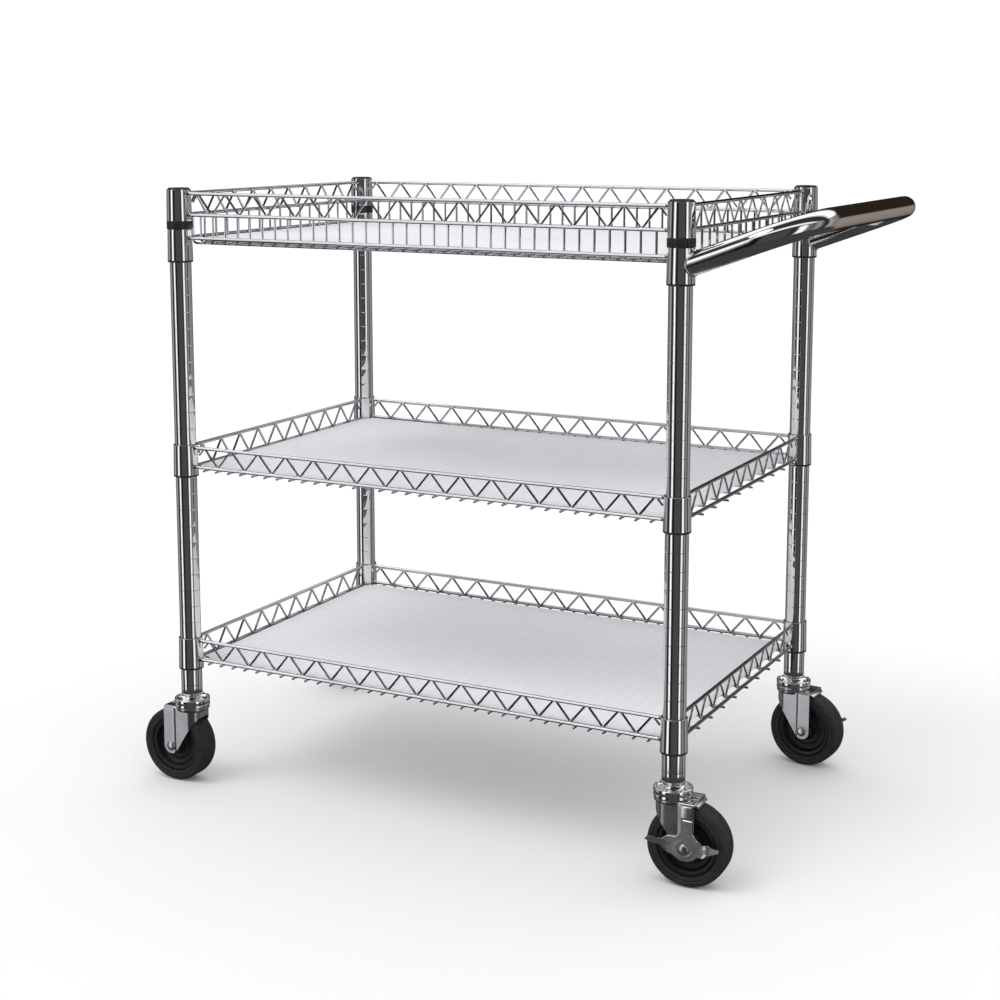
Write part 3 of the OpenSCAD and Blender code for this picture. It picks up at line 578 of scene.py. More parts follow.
def make_collars(z_top, name, node):
    """A drawn collar: taper from top to bottom, a rolled lip at either end, a bore that follows."""
    head = np.array([(-0.5, 0.0), (-0.12, -0.15), (0.05, -0.6), (0.0, -1.4), (0.04, -2.6)])
    foot = np.array([(-0.1, 3.0), (0.0, 1.4), (-0.05, 0.5), (-0.5, 0.0)])
    bore = [(COLLAR_INNER_R + 0.8, -COLLAR_H), (COLLAR_INNER_R, 0.0)]
    profile = np.vstack([head + (COLLAR_TOP_R, 0), foot + (COLLAR_BOTTOM_R, -COLLAR_H), bore])
    part = copies(revolve(profile, 64, ring=True), corner_places(z_top))
    make(name, [part], CHROME_COLLAR, "frame", [node])


def make_sleeves(z_top, name, node, rim_h):
    """Two half sleeves at each post: a wedge between post and collar, and a soft-edged rim below.
    Each half is the section carried round an arc that stops short of the slit at either end."""
    low = -COLLAR_H - rim_h
    inner, rim_r = POST_R + 0.02, COLLAR_BOTTOM_R
    section = np.array([
        (inner, low + 0.3), (inner + 0.3, low), (rim_r - 0.6, low), (rim_r - 0.15, low + 0.2),
        (rim_r, low + 0.6), (rim_r, -COLLAR_H - 0.5), (rim_r - 0.3, -COLLAR_H - 0.04),
        (inner + 1.3, -COLLAR_H - 0.02), (inner + 0.5, 0.0), (inner, 0.0),
    ])
    parts = []
    r, h = section.T
    steps, half_slit, count = 40, 0.4 / POST_R, len(section)
    for (sx, sy), place in zip(CORNERS.values(), corner_places(z_top)):
        for half in (0, 180):
            start = math.radians(45 * sx * sy + half) + half_slit
            a = np.linspace(start, start + math.pi - 2 * half_slit, steps)[:, None]
            points, quads = grid(np.stack([r * np.cos(a), r * np.sin(a), h + 0 * a], -1))
            ends = [list(range(count)), list(range(len(points) - count, len(points)))[::-1]]
            parts.append(moved((points, quads.tolist() + ends), by=place))
    make(name, parts, BLACK_CLIP, "frame", [node])


make_posts()
make_caps()
for level in ("tray_rim", "tray_foot", "middle", "lower"):
    collar_top = top_of(level + "_collars")
    rim = collar_top - COLLAR_H - box_mm(level + "_sleeves")[0][2]
    make_collars(collar_top, "drawn_collars_" + level, level + "_collars")
    make_sleeves(collar_top, "half_sleeves_" + level, level + "_sleeves", rim)

# ---- wire shelves -----------------------------------------------------------------------


def collar_r_at(depth):
    return COLLAR_TOP_R + (COLLAR_BOTTOM_R - COLLAR_TOP_R) * depth / COLLAR_H


def spread(reach, pitch):
    """Evenly spaced places, as many as fit within reach either way from 0."""
    n = int(2 * reach // pitch)
    return (np.arange(n + 1) - n / 2) * pitch


def make_bars(name, parts, node):
    """A piece of plated wires that stands for one CAD node of the frame."""
    make(name, parts, CHROME_WIRE, "frame", [node])


def long_rails(z, collar_top):
    """The two rails along the cart at one height, flared where they are welded to the collars."""
    reach = SPAN_X / 2 - collar_r_at(collar_top - z) + 0.15
    part = rod((-reach, 0, 0), (reach, 0, 0), RAIL_R, 16, 1.1)
    return copies(part, [(0, sy * SPAN_Y / 2, z) for sy in (-1, 1)])


def end_rails(z, collar_top):
    reach = SPAN_Y / 2 - collar_r_at(collar_top - z) + 0.15
    part = rod((0, -reach, 0), (0, reach, 0), RAIL_R, 16, 1.1)
    return copies(part, [(sx * SPAN_X / 2, 0, z) for sx in (-1, 1)])


def blob(size):
    """A weld nugget: an ellipsoid of six by five faces."""
    h = np.linspace(-np.pi / 2, np.pi / 2, 6)
    return moved(revolve(np.column_stack([np.cos(h), np.sin(h)]), 6), np.diag(size))


def zigzag(span, z_top, z_bottom):
    """The truss wire's bent line and its peaks and feet: straight legs between arcs that stop
    ZIG_INSET inside the rails' lines, with a cut-off half leg at either end."""
    free = span - 2 * (COLLAR_BOTTOM_R + ZIG_PITCH / 5)
    n = int(free // ZIG_PITCH)
    lean = math.atan(ZIG_PITCH / 2 / (z_top - z_bottom))
    past = ZIG_BEND / math.sin(lean) - ZIG_BEND
    top, bottom = z_top - ZIG_INSET + past, z_bottom + ZIG_INSET - past
    x = -n * ZIG_PITCH / 2 + np.arange(2 * n + 1) * ZIG_PITCH / 2
    z = np.where(np.arange(2 * n + 1) % 2 == 0, top, bottom)
    stub = np.array([ZIG_PITCH / 5, (top - bottom) * 2 / 5])
    line = np.column_stack([x, z])
    line = np.vstack([line[0] - stub, line, line[-1] + stub * (1, -1)])
    return rounded(line, ZIG_BEND, 5), x[::2], x[1::2]


def truss(z_top, z_bottom, z_end_bottom):
    """The four zigzags of a shelf or rim, with a nugget where a turn meets its rail."""
    parts = []
    inset = RAIL_R + ZIG_R + WELD
    for span, width, low, swap in (
        (SPAN_X, SPAN_Y, z_bottom, None), (SPAN_Y, SPAN_X, z_end_bottom, SWAP_XY),
    ):
        line, peaks, feet = zigzag(span, z_top, low)
        path = np.column_stack([line[:, 0], 0 * line[:, 0], line[:, 1]])
        wire = bar(path, ZIG_R, (0, 1, 0), 8)
        for side in (-1, 1):
            y = side * (width / 2 - inset)
            rail_side = y + side * 1.7
            spots = [(x, rail_side, z_top - 1.0) for x in peaks]
            spots += [(x, rail_side, low + 1.0) for x in feet]
            parts.append(moved(wire, swap, (0, y, 0) if swap is None else (y, 0, 0)))
            nuggets = copies(blob((2.4, 1.3, 1.3)), spots)
            parts.append(nuggets if swap is None else moved(nuggets, swap))
    return parts


def make_tray():
    """The tray: rim rails and truss, floor rails, and wires that come down one wall, cross the
    floor and go up the other wall."""
    rim_top = top_of("tray_rim_collars")
    foot_top = top_of("tray_foot_collars")
    low, high = box_mm("tray_rim_rails")
    top, mid = high[2] - RAIL_R, low[2] + RAIL_R
    floor_rail = middle_of("tray_floor_rails")[2]
    rails = [side(z, rim_top) for z in (top, mid) for side in (long_rails, end_rails)]
    make_bars("tray_rim_bars", rails, "tray_rim_rails")
    rails = [long_rails(floor_rail, foot_top), end_rails(floor_rail, foot_top)]
    make_bars("tray_floor_bars", rails, "tray_floor_rails")
    make_bars("tray_truss", truss(top, mid, mid), "tray_zigzags")
    inset = RAIL_R + WIRE_R + WELD
    for name, node, half, pitch, reach, swap in (
        ("tray_cross_bars", "tray_cross_wires", SPAN_Y / 2, CROSS_PITCH, WIRES_X, SWAP_XY),
        ("tray_long_bars", "tray_long_wires", SPAN_X / 2, TRAY_LONG_PITCH, WIRES_Y, None),
    ):
        floor = box_mm(node)[0][2] + WIRE_R
        wall = half - inset
        head = mid - WIRE_R / 4
        bent = rounded([(-wall, head), (-wall, floor), (wall, floor), (wall, head)], TRAY_BEND, 8)
        wire = bar(np.column_stack([bent[:, 0], 0 * bent[:, 0], bent[:, 1]]), WIRE_R, (0, 1, 0), 10)
        places = spread(reach, pitch)
        welds = [(s * (wall + 1.6), z) for s in (-1, 1) for z in (mid, floor_rail)]
        spots = [(x, at, z) for at in places for x, z in welds]
        parts = [copies(wire, [(0, at, 0) for at in places]), copies(blob((2.0, 1.2, 1.6)), spots)]
        make_bars(name, [moved(part, swap) for part in parts], node)


def make_shelf(level):
    """A wire shelf: rails and truss on four sides, cross wires under the long rails, and long
    wires under the cross wires that also carry the end rails."""
    collar_top = top_of(level + "_collars")
    low, high = box_mm(level + "_rails")
    top, end_low = high[2] - RAIL_R, low[2] + RAIL_R
    cross, along = middle_of(level + "_cross_wires")[2], middle_of(level + "_long_wires")[2]
    long_low = cross + WIRE_R + RAIL_R + WELD
    rails = [long_rails(top, collar_top), long_rails(long_low, collar_top)]
    rails += [end_rails(top, collar_top), end_rails(end_low, collar_top)]
    make_bars(level + "_edge_bars", rails, level + "_rails")
    make_bars(level + "_truss", truss(top, long_low, end_low), level + "_zigzags")
    reach = SPAN_Y / 2 + RAIL_R + WIRE_TAIL
    places = spread(WIRES_X, CROSS_PITCH)
    wire = rod((0, -reach, 0), (0, reach, 0), WIRE_R, 10)
    spots = [(x, s * SPAN_Y / 2, cross + 1.4) for x in places for s in (-1, 1)]
    parts = [copies(wire, [(x, 0, cross) for x in places]), copies(blob((1.3, 2.2, 1.0)), spots)]
    make_bars(level + "_cross_bars", parts, level + "_cross_wires")
    reach = SPAN_X / 2 + RAIL_R + WIRE_TAIL
    places = spread(WIRES_Y, LONG_PITCH)
    wire = rod((-reach, 0, 0), (reach, 0, 0), WIRE_R, 10)
    spots = [(s * SPAN_X / 2, y, along + 1.4) for y in places for s in (-1, 1)]
    parts = [copies(wire, [(0, y, along) for y in places]), copies(blob((2.2, 1.3, 1.0)), spots)]
    make_bars(level + "_long_bars", parts, level + "_long_wires")


make_tray()
make_shelf("middle")
make_shelf("lower")

# ---- liners -----------------------------------------------------------------------------


def liner_outline():
    """A rectangle whose corners are cut back by a quarter circle round each post, with the
    points of every notch worked out as LINER_NOTCH_R (cos a, sin a) from the post's centre."""
    first = math.asin(LINER_EDGE / LINER_NOTCH_R)
    a = np.linspace(first, math.pi / 2 - first, 14)[:, None]
    notch = (SPAN_X / 2, SPAN_Y / 2) - LINER_NOTCH_R * np.hstack([np.cos(a), np.sin(a)])
    right = np.vstack([notch, notch[::-1] * (1, -1)])
    return np.vstack([right, -right])


def make_liner(level):
    low, high = box_mm(level + "_liner")
    sheet = prism(liner_outline(), low[2], high[2], 0.45)
    make(level + "_frosted_sheet", [sheet], FROSTED, level + "_liner_sheet",
         [level + "_liner"], 60)


for level in ("tray", "middle", "lower"):
    make_liner(level)

# ---- handle -----------------------------------------------------------------------------


def make_handle():
    """A bent tube in a plane that rises towards the grip. Its centre line is two straight arms
    and a straight grip joined by quarter circles. Each end is cut to the round of its collar: a
    side line at (up n, across w) starts at s where (s cos p - n sin p)^2 + w^2 = collar radius^2."""
    pitch = math.atan2(HANDLE_RISE, HANDLE_REACH)
    arm = math.hypot(HANDLE_RISE, HANDLE_REACH)
    corners = [(0, -SPAN_Y / 2), (arm, -SPAN_Y / 2), (arm, SPAN_Y / 2), (0, SPAN_Y / 2)]
    line = rounded(corners, HANDLE_BEND, 20)
    grip = np.linspace(-1, 1, 9)[1:-1, None] * (0, SPAN_Y / 2 - HANDLE_BEND) + (arm, 0)
    arms = np.linspace(0, 1, 5)[1:-1, None]
    near_arm = line[0] + arms * (line[1] - line[0])
    far_arm = line[-2] + arms * (line[-1] - line[-2])
    line = np.vstack([line[:1], near_arm, line[1:21], grip, line[21:-1], far_arm, line[-1:]])
    along = unit(np.gradient(line, axis=0))
    side = np.column_stack([along[:, 1], -along[:, 0]])
    a = np.linspace(0, 2 * np.pi, 48, endpoint=False)

    def to_collar(w, up):
        reach = np.sqrt(COLLAR_BOTTOM_R**2 - w**2) + up * math.sin(pitch)
        return reach / math.cos(pitch)

    def placed(s, y, up):
        """A point s along, y across and up square to the handle's plane, in the cart's frame."""
        x = s * math.cos(pitch) - up * math.sin(pitch) + SPAN_X / 2
        z = s * math.sin(pitch) + up * math.cos(pitch) + POST_TOP - HANDLE_DROP
        return np.stack([x, y, z], -1)

    def skin(radius):
        """Rings across the tube, the first and last moved along the arm to the collar's surface."""
        w, up = radius * np.cos(a), radius * np.sin(a)
        s = line[:, None, 0] + side[:, None, 0] * w
        y = line[:, None, 1] + side[:, None, 1] * w
        s[0] = s[-1] = to_collar(w, up) + HANDLE_GAP
        for row in (1, -2):
            s[row] = np.maximum(s[row], s[0] + 0.35)
        return placed(s, y, np.broadcast_to(up, s.shape))

    def bead(end):
        """The weld: an uneven ring whose line is the tube's own edge on the collar."""
        w, up = HANDLE_R * np.cos(a), HANDLE_R * np.sin(a)
        centre = placed(to_collar(w, up) + BEAD_GAP, end * SPAN_Y / 2 + w, up)
        tangent = unit(np.roll(centre, -1, 0) - np.roll(centre, 1, 0))
        out = unit(centre - centre.mean(0))
        third = np.cross(tangent, out)
        b = np.linspace(0, 2 * np.pi, 8, endpoint=False)[None, :, None]
        lump = (BEAD_R + BEAD_LUMP * np.sin(9 * a))[:, None, None]
        rows = centre[:, None] + lump * (np.cos(b) * out[:, None] + np.sin(b) * third[:, None])
        return grid(rows, wrap_u=True)

    tube = grid(np.concatenate([skin(HANDLE_R), skin(HANDLE_R - HANDLE_WALL)[::-1]]), wrap_u=True)
    make("push_handle", [tube, bead(-1), bead(1)], CHROME_HANDLE, "frame",
         ["handle_tube"], 50)


make_handle()

# ---- casters ----------------------------------------------------------------------------


def caster_way(p):
    """The direction of a caster's trail, in degrees, from its wheel's place under its post."""
    away = middle_of("tyre_" + p) - POSTS[p]
    return math.degrees(math.atan2(away[1], away[0]))


def under_post(part, p):
    """Puts a caster's shape, with +X along its trail, under its post."""
    return moved(part, about_z(caster_way(p)), (POSTS[p] - HOME) * (1, 1, 0))


def on_axle(part):
    return moved(part, AXLE_WAY, (TRAIL, 0, AXLE_Z))


def make_races():
    """The upper race: a dished floor, an upturned rolled rim round the post, a waist and a
    rolled skirt over the balls, as one closed section carried round the swivel's line."""
    section = [
        (6.05, 110.62), (21.0, 110.62), (21.7, 109.9), (21.7, 106.4), (22.0, 106.02), (22.9, 106.0),
        (23.4, 106.4), (23.45, 107.4), (23.2, 108.2), (22.75, 108.9), (22.6, 109.6), (22.75, 110.3),
        (23.2, 111.0), (23.45, 111.9), (23.5, 115.4), (23.3, 116.4), (22.7, 116.95), (22.0, 116.9),
        (21.5, 116.3), (21.2, 115.2), (20.6, 114.0), (19.6, 113.3), (18.2, 113.02), (15.4, 113.0),
        (14.9, 112.6), (14.4, 112.98), (6.05, 112.98),
    ]
    part = copies(revolve(section, 72, ring=True), corner_places())
    make("swivel_races", [part], RACE_PLATE, "frame", ["caster_races"], 60)


def fork_wall():
    """The fork's wall seen from above, as points (x, y), outward normals and the height of its
    lower edge: down the round of one leg's end, forward along a line that touches that round,
    round the front's two corners and back along the other leg."""
    front_x = LEG_HALF - FORK_FRONT
    tip = np.array([-FORK_FRONT, FORK_FRONT_LOW]) - (TRAIL, AXLE_Z)
    touch = math.atan2(tip[1], tip[0]) + math.acos(LEG_END_R / math.hypot(*tip))
    back = (0, 0.13, 0.28, 0.4297, 0.6, 0.8, 1.0, 1.2, 1.4, 1.6, 1.8, 2.0427, 2.2, 2.4)
    around = np.array([2 * np.pi - k for k in back if 2 * np.pi - k > touch + 0.05] + [touch])
    x_round, z_round = TRAIL + LEG_END_R * np.cos(around), AXLE_Z + LEG_END_R * np.sin(around)
    slope = (FORK_FRONT_LOW - z_round[-1]) / (-FORK_FRONT - x_round[-1])
    corner_x = front_x + FORK_CORNER_R
    x_line = np.concatenate([np.linspace(x_round[-1], 4, 4)[1:], np.linspace(4, corner_x, 5)[1:]])
    b = np.linspace(0, np.pi / 2, 9)[1:]
    x_bend = corner_x - FORK_CORNER_R * np.sin(b)
    y_bend = LEG_MID - FORK_CORNER_R + FORK_CORNER_R * np.cos(b)
    # the crease runs down the leg from x = 14 to 16: ahead of it the leg is set in, and the
    # corner with it, until the last places of the bend, which face forward
    x_flat = np.concatenate([x_round, x_line])
    y_flat = LEG_MID - CREASE * np.clip((16.0 - x_flat) / 2.0, 0, 1)
    x = np.concatenate([x_flat, x_bend])
    y = np.concatenate([y_flat, y_bend - CREASE * (y_bend > 9)])
    nx = np.concatenate([0 * x_flat, -np.sin(b)])
    ny = np.concatenate([0 * x_flat + 1, np.cos(b)])
    low = np.where(x >= x_round[-1] - 1e-9, AXLE_Z, z_round[-1] + slope * (x - x_round[-1]))
    low[: len(z_round)] = z_round
    half = np.column_stack([x, y, nx, ny, low])
    front = np.array([[front_x, y0, -1, 0, half[-1, 4]] for y0 in (4.5, 0.0)])
    side = np.vstack([half, front])
    return np.vstack([side * (1, -1, 1, -1, 1), side[-2::-1]])


def fork_shell(brake_side):
    """The pressed fork as one closed sheet: at each place along the wall a section runs up the
    outside, over the top bend, in to the middle line, back under the top and down the inside.
    On a braked fork the faces in the ear's window are left out and its four sides are put in."""
    wall = fork_wall()
    t, bend, sill, head = LEG_HALF, FORK_TOP_BEND, WINDOW_SILL, FORK_TOP - FORK_TOP_BEND
    low = wall[:, 4]
    rise = np.linspace(0, 1, 7)[:, None]
    up_z = low + 0.5 + (sill - low - 0.5) * rise
    arc = np.linspace(0, np.pi / 2, 6)[1:, None]
    rows_off = [np.full_like(low, 0.8), *[np.full_like(low, t)] * 8]
    rows_z = [low, *up_z, np.full_like(low, head)]
    rows_off += [t - bend + bend * np.cos(k) + 0 * low for k in arc]
    rows_z += [head + bend * np.sin(k) + 0 * low for k in arc]
    xy, n = wall[:, :2], wall[:, 2:4]
    spine = np.column_stack([np.maximum(wall[:, 0], -7.5), 0 * low])
    outer = [np.column_stack([xy + n * o[:, None], z]) for o, z in zip(rows_off, rows_z)]
    edge = outer[-1]
    top = [
        np.column_stack([edge[:, :2] + (spine - edge[:, :2]) * k, edge[:, 2]])
        for k in (0.33, 0.66, 1.0)
    ]
    inner_z = [np.full_like(low, FORK_UNDER), np.full_like(low, head - 0.4), *up_z[::-1], low]
    inner_off = [np.full_like(low, -t - 0.6), *[np.full_like(low, -t)] * 8, np.full_like(low, -0.8)]
    inner = [np.column_stack([xy + n * o[:, None], z]) for o, z in zip(inner_off, inner_z)]
    under = [
        np.column_stack([spine + (inner[0][:, :2] - spine) * k, np.full_like(low, FORK_UNDER)])
        for k in (0.0, 0.33, 0.66)
    ]
    rows = np.stack(outer + top + under + inner)
    points, quads = grid(rows, wrap_u=True, wrap_v=False)
    nv = rows.shape[1]
    starts = [k * nv for k in range(len(rows))]
    ends = [starts, [k + nv - 1 for k in starts][::-1]]
    faces = quads.tolist()
    if brake_side:
        centre = points[quads].mean(1)
        gone = (
            (centre[:, 1] * brake_side > LEG_IN - 0.5)
            & (centre[:, 0] > WINDOW_REACH[0]) & (centre[:, 0] < WINDOW_REACH[1])
            & (centre[:, 2] > sill - 0.05) & (centre[:, 2] < head + 0.05)
        )
        faces = quads[~gone].tolist()
        lost = quads[gone]
        edges = np.sort(np.concatenate([lost[:, [k, (k + 1) % 4]] for k in range(4)]), 1)
        rim, seen = np.unique(edges, axis=0, return_counts=True)
        rim = rim[seen == 1]
        outside = points[rim][:, :, 1].mean(1) * brake_side > LEG_MID
        out_rim, in_rim = rim[outside], rim[~outside]
        where_out, where_in = points[out_rim].mean(1), points[in_rim].mean(1)
        for k, at in enumerate(where_out):
            match = int(np.argmin(np.linalg.norm((where_in - at) * (1, 0, 1), axis=1)))
            a0, a1 = out_rim[k]
            b0, b1 = in_rim[match]
            if abs(points[a0][0] - points[b0][0]) + abs(points[a0][2] - points[b0][2]) > abs(
                points[a0][0] - points[b1][0]
            ) + abs(points[a0][2] - points[b1][2]):
                b0, b1 = b1, b0
            faces.append([int(a0), int(a1), int(b1), int(b0)])
    return points, faces + ends


def crown():
    """The lower race ring round the top of the fork, with a rolled edge."""
    section = [
        (7.0, 104.6), (18.0, 104.6), (19.2, 101.2), (20.2, 100.4), (21.6, 100.5), (22.5, 101.2),
        (22.9, 102.4), (22.85, 104.4), (22.3, 105.4), (21.2, 105.75), (7.0, 105.75),
    ]
    return revolve(section, 64, ring=True)


def make_fork(p, brake_side):
    parts = [under_post(fork_shell(brake_side), p), under_post(crown(), p)]
    make("pressed_fork_" + p, parts, FORK_PLATE, "caster_" + p, ["fork_" + p], 40)


def make_axle(p, head_side, brake_side):
    """The axle bolt: a low domed head with a washer face and a rim, its shank, and a chamfered
    hexagonal nut with the rounded end of the thread standing out of it."""
    stack = PEDAL_IN + BRAKE_T + 0.5 - LEG_OUT
    head = LEG_OUT + 0.02 + (stack if brake_side == head_side else 0)
    nut = LEG_OUT + 0.02 + (stack if brake_side == -head_side and brake_side else 0)
    a = np.linspace(0.0, 1.25, 7)
    dome = np.column_stack([5.9 * np.cos(a) ** 0.6, head + 1.15 + 1.5 * np.sin(a)])
    shank = [(0, -nut - 5.5), (2.6, -nut - 5.5), (3.5, -nut - 5.1), (4.0, -nut - 4.4), (4.0, head)]
    flange = [(6.3, head), (6.6, head + 0.25), (6.6, head + 0.75), (6.35, head + 1.05)]
    bolt = revolve(shank + flange + dome.tolist() + [(0, head + 2.65)], 40)
    six = np.radians(np.arange(6) * 60)
    hexagon = rounded(np.column_stack([7.5 * np.cos(six), 7.5 * np.sin(six)]), 0.8, 4, closed=True)
    parts = [bolt, prism(hexagon, -nut - 4.0, -nut, 0.6)]
    side = np.eye(3) if head_side < 0 else np.diag([1, -1, -1])
    parts = [under_post(on_axle(moved(part, side)), p) for part in parts]
    make("axle_bolt_" + p, parts, BOLT_STEEL, "caster_" + p, ["axle_" + p], 40)


def make_wheel(p):
    """The wheel centre is a boss, a dished web with raised rings and a rim; the tyre is a band
    with a bead, a groove and rings on its sides, round shoulders and a slightly crowned tread."""
    half_hub = [
        (6.52, 17.0), (8.6, 17.0), (9.2, 16.5), (12.2, 16.3), (12.9, 15.7), (13.0, 14.5), (13.4, 8.0),
        (14.2, 5.4), (15.6, 4.3), (18.0, 4.0), (19.0, 4.6), (20.2, 4.6), (21.0, 4.0), (26.6, 4.0),
        (28.4, 4.5), (29.6, 6.0), (30.4, 9.2), (31.0, 11.4), (31.8, 12.0), (36.0, 12.0), (36.9, 11.6),
    ]
    hub = np.vstack([np.array(half_hub) * (1, -1), half_hub[::-1]])
    part = under_post(on_axle(revolve(hub, 72, ring=True)), p)
    make("wheel_centre_" + p, [part], HUB_PLASTIC, "wheel_" + p, ["hub_" + p], 50)
    half_tyre = [
        (37.02, 12.4), (37.2, 13.6), (37.9, 14.6), (39.0, 15.2), (40.6, 15.5), (41.4, 15.35),
        (41.9, 14.8), (42.5, 14.75), (43.0, 15.3), (43.8, 15.75), (44.6, 15.7), (45.1, 15.3),
        (45.6, 15.35), (46.3, 15.6), (47.4, 15.0), (48.5, 13.9), (49.3, 12.5), (49.7, 10.8),
        (49.9, 7.0), (50.0, 2.0), (50.0, 0.5), (49.85, 0.2), (49.85, 0.0),
    ]
    tyre = np.vstack([np.array(half_tyre) * (1, -1), half_tyre[-2::-1]])
    part = under_post(on_axle(revolve(tyre, 96, ring=True)), p)
    make("rubber_tyre_" + p, [part], TYRE_RUBBER, "wheel_" + p, ["tyre_" + p], 60)


def pedal_outline():
    """The pedal's outline about the axle: a hump over the boss, two wings that rise a little
    towards their tips, a round lower edge and the tongue that meets the shoe's ear."""
    right = [
        (9.0, 36.0), (9.6, 21.0), (14.8, 14.4), (23.0, 9.6), (29.5, 12.0), (36.5, 9.8), (44.0, 12.4),
        (46.0, 9.2), (38.5, 4.4), (31.5, 0.0), (24.0, -6.2), (16.0, -6.4), (12.4, -10.6), (5.0, -14.4),
    ]
    left = [
        (-5.0, -14.4), (-12.0, -10.6), (-16.5, -8.0), (-23.0, -6.4), (-30.5, 1.2), (-38.5, 3.4),
        (-46.0, 8.2), (-43.5, 12.4), (-34.5, 7.8), (-28.0, 8.4), (-22.0, 13.4), (-11.5, 14.2),
        (-7.0, 18.2), (-4.6, 21.6), (-4.0, 36.0),
    ]
    wing = [1.0] * 5
    radii = [1.2, *wing, 0.8, 0.8, *[1.2] * 12, 0.8, 0.8, *wing, 0.8, 1.2]
    return rounded(right + left, radii, 4, closed=True)


def make_pedal(p, side, rock):
    """The pedal as a pressed sheet: spokes from the bore to the outline on both faces, closed
    round its edge. Its height off the leg is a pressed ring round the bolt, plus
    tan 30 (sqrt(d^2 + 4) - 2) for d past the wings' fold."""
    outline = pedal_outline()
    far = np.linalg.norm(outline, axis=1, keepdims=True)
    bore = outline / far * 4.06
    face = np.array([0, 0.06, 0.14, 0.24, 0.34, 0.46, 0.58, 0.7, 0.82, 0.92, 1.0])[:, None, None]
    inner_edge = outline * (1 - 0.8 / far)
    flat = bore + (inner_edge - bore) * face
    rows = np.concatenate([flat, outline[None], outline[None], flat[::-1]])
    level = np.concatenate([np.full(11, BRAKE_T), [BRAKE_T - 0.7, 0.5], np.zeros(11)])[:, None]
    x, z = rows[..., 0], rows[..., 1]
    away = np.hypot(x, z)
    fold = np.maximum(np.abs(x) - 25.3, 0)
    out = math.tan(math.radians(30)) * (np.sqrt(fold**2 + 4) - 2)
    out = out + 0.22 * np.exp(-(((away - 9.6) / 1.1) ** 2)) * (level > 1)
    y = PEDAL_IN + out + level
    c, s = math.cos(math.radians(rock)), math.sin(math.radians(rock))
    rows = np.stack([x * c + z * s + TRAIL, side * y, z * c - x * s + AXLE_Z], -1)
    part = under_post(grid(rows, wrap_u=True), p)
    make("brake_lever_" + p, [part], BRAKE_PLATE, "brake_pedal_" + p,
         ["pedal_" + p], 40)


def strip(line, thick, steps=5, bend=1.6):
    """The outline of a bent sheet seen from its edge: its middle line moved half a thickness to
    either side, there and back."""
    mid = rounded(line, bend, steps)
    along = unit(np.gradient(mid, axis=0))
    side = np.column_stack([-along[:, 1], along[:, 0]]) * thick / 2
    return np.vstack([mid + side, (mid - side)[::-1]])


def make_shoe(p, side):
    """The brake shoe: a plate with its rear edge bent down over the tread, and an ear that
    leaves through the leg's window and turns down."""
    top = FORK_UNDER - 0.5 - BRAKE_T / 2
    rear = TRAIL + 14.1
    plate = strip([(TRAIL - 10, top), (rear, top), (rear, top - 1.9)], BRAKE_T, bend=1.0)
    plate = moved(prism(plate, -16.0, 16.0, 0.35), [[1, 0, 0], [0, 0, 1], [0, 1, 0]])
    ear = strip([(12.0, top), (21.7, top), (21.7, EAR_LOW + 0.1)], BRAKE_T, bend=1.2)
    ear = prism(ear, TRAIL - EAR_FRONT, TRAIL - EAR_FRONT + EAR_W, 0.35)
    ear = moved(ear, [[0, 0, 1], [side, 0, 0], [0, 1, 0]])
    parts = [under_post(part, p) for part in (plate, ear)]
    make("pressed_shoe_" + p, parts, BRAKE_PLATE, "brake_shoe_" + p,
         ["shoe_" + p], 40)


make_races()
for place, brake in (("front_left", 0), ("front_right", -1), ("back_left", 0), ("back_right", 1)):
    make_fork(place, brake)
    make_axle(place, -1 if CORNERS[place][0] > 0 else 1, brake)
    make_wheel(place)
    if brake:
        make_pedal(place, brake, -brake * PEDAL_ROCK)
        make_shoe(place, brake)

for node, finish in (
    ("caster_stems", BOLT_STEEL), ("race_balls", BALL_STEEL), ("caster_sockets", BLACK_CLIP),
    *[("bush_" + p, BUSH_BRASS) for p in CORNERS],
):
    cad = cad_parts[node]
    if not cad.material_slots:
        cad.data.materials.append(finish)
    for slot in cad.material_slots:
        slot.material = finish

# ---- floor and light --------------------------------------------------------------------

FLOOR_WHITE, SOFT_LIGHT = 0.92, 1.02
SUN_LIGHT, SUN_HEIGHT, SUN_TURN, SUN_WIDTH = 0.5, 55.0, -38.0, 28.0


def add_floor():
    """A large pale floor. It is hidden from mirror rays, so that plated pieces show the studio."""
    bpy.ops.mesh.primitive_plane_add(size=60, location=(0, 0, -0.0002))
    floor = bpy.context.object
    floor.name = "floor"
    floor.visible_glossy = False
    finish = bpy.data.materials.new("pale_floor")
    finish.use_nodes = True
    tree = finish.node_tree
    tree.nodes.remove(tree.nodes["Principled BSDF"])
    paint = tree.nodes.new("ShaderNodeBsdfDiffuse")
    paint.inputs["Color"].default_value = (FLOOR_WHITE,) * 3 + (1,)
    tree.links.new(paint.outputs[0], tree.nodes["Material Output"].inputs["Surface"])
    floor.data.materials.append(finish)


def add_sun():
    sun = bpy.data.objects.new("soft_key", bpy.data.lights.new("soft_key", "SUN"))
    sun.data.energy = SUN_LIGHT
    sun.data.angle = math.radians(SUN_WIDTH)
    sun.rotation_euler = (math.radians(90 - SUN_HEIGHT), 0, math.radians(SUN_TURN))
    bpy.context.scene.collection.objects.link(sun)


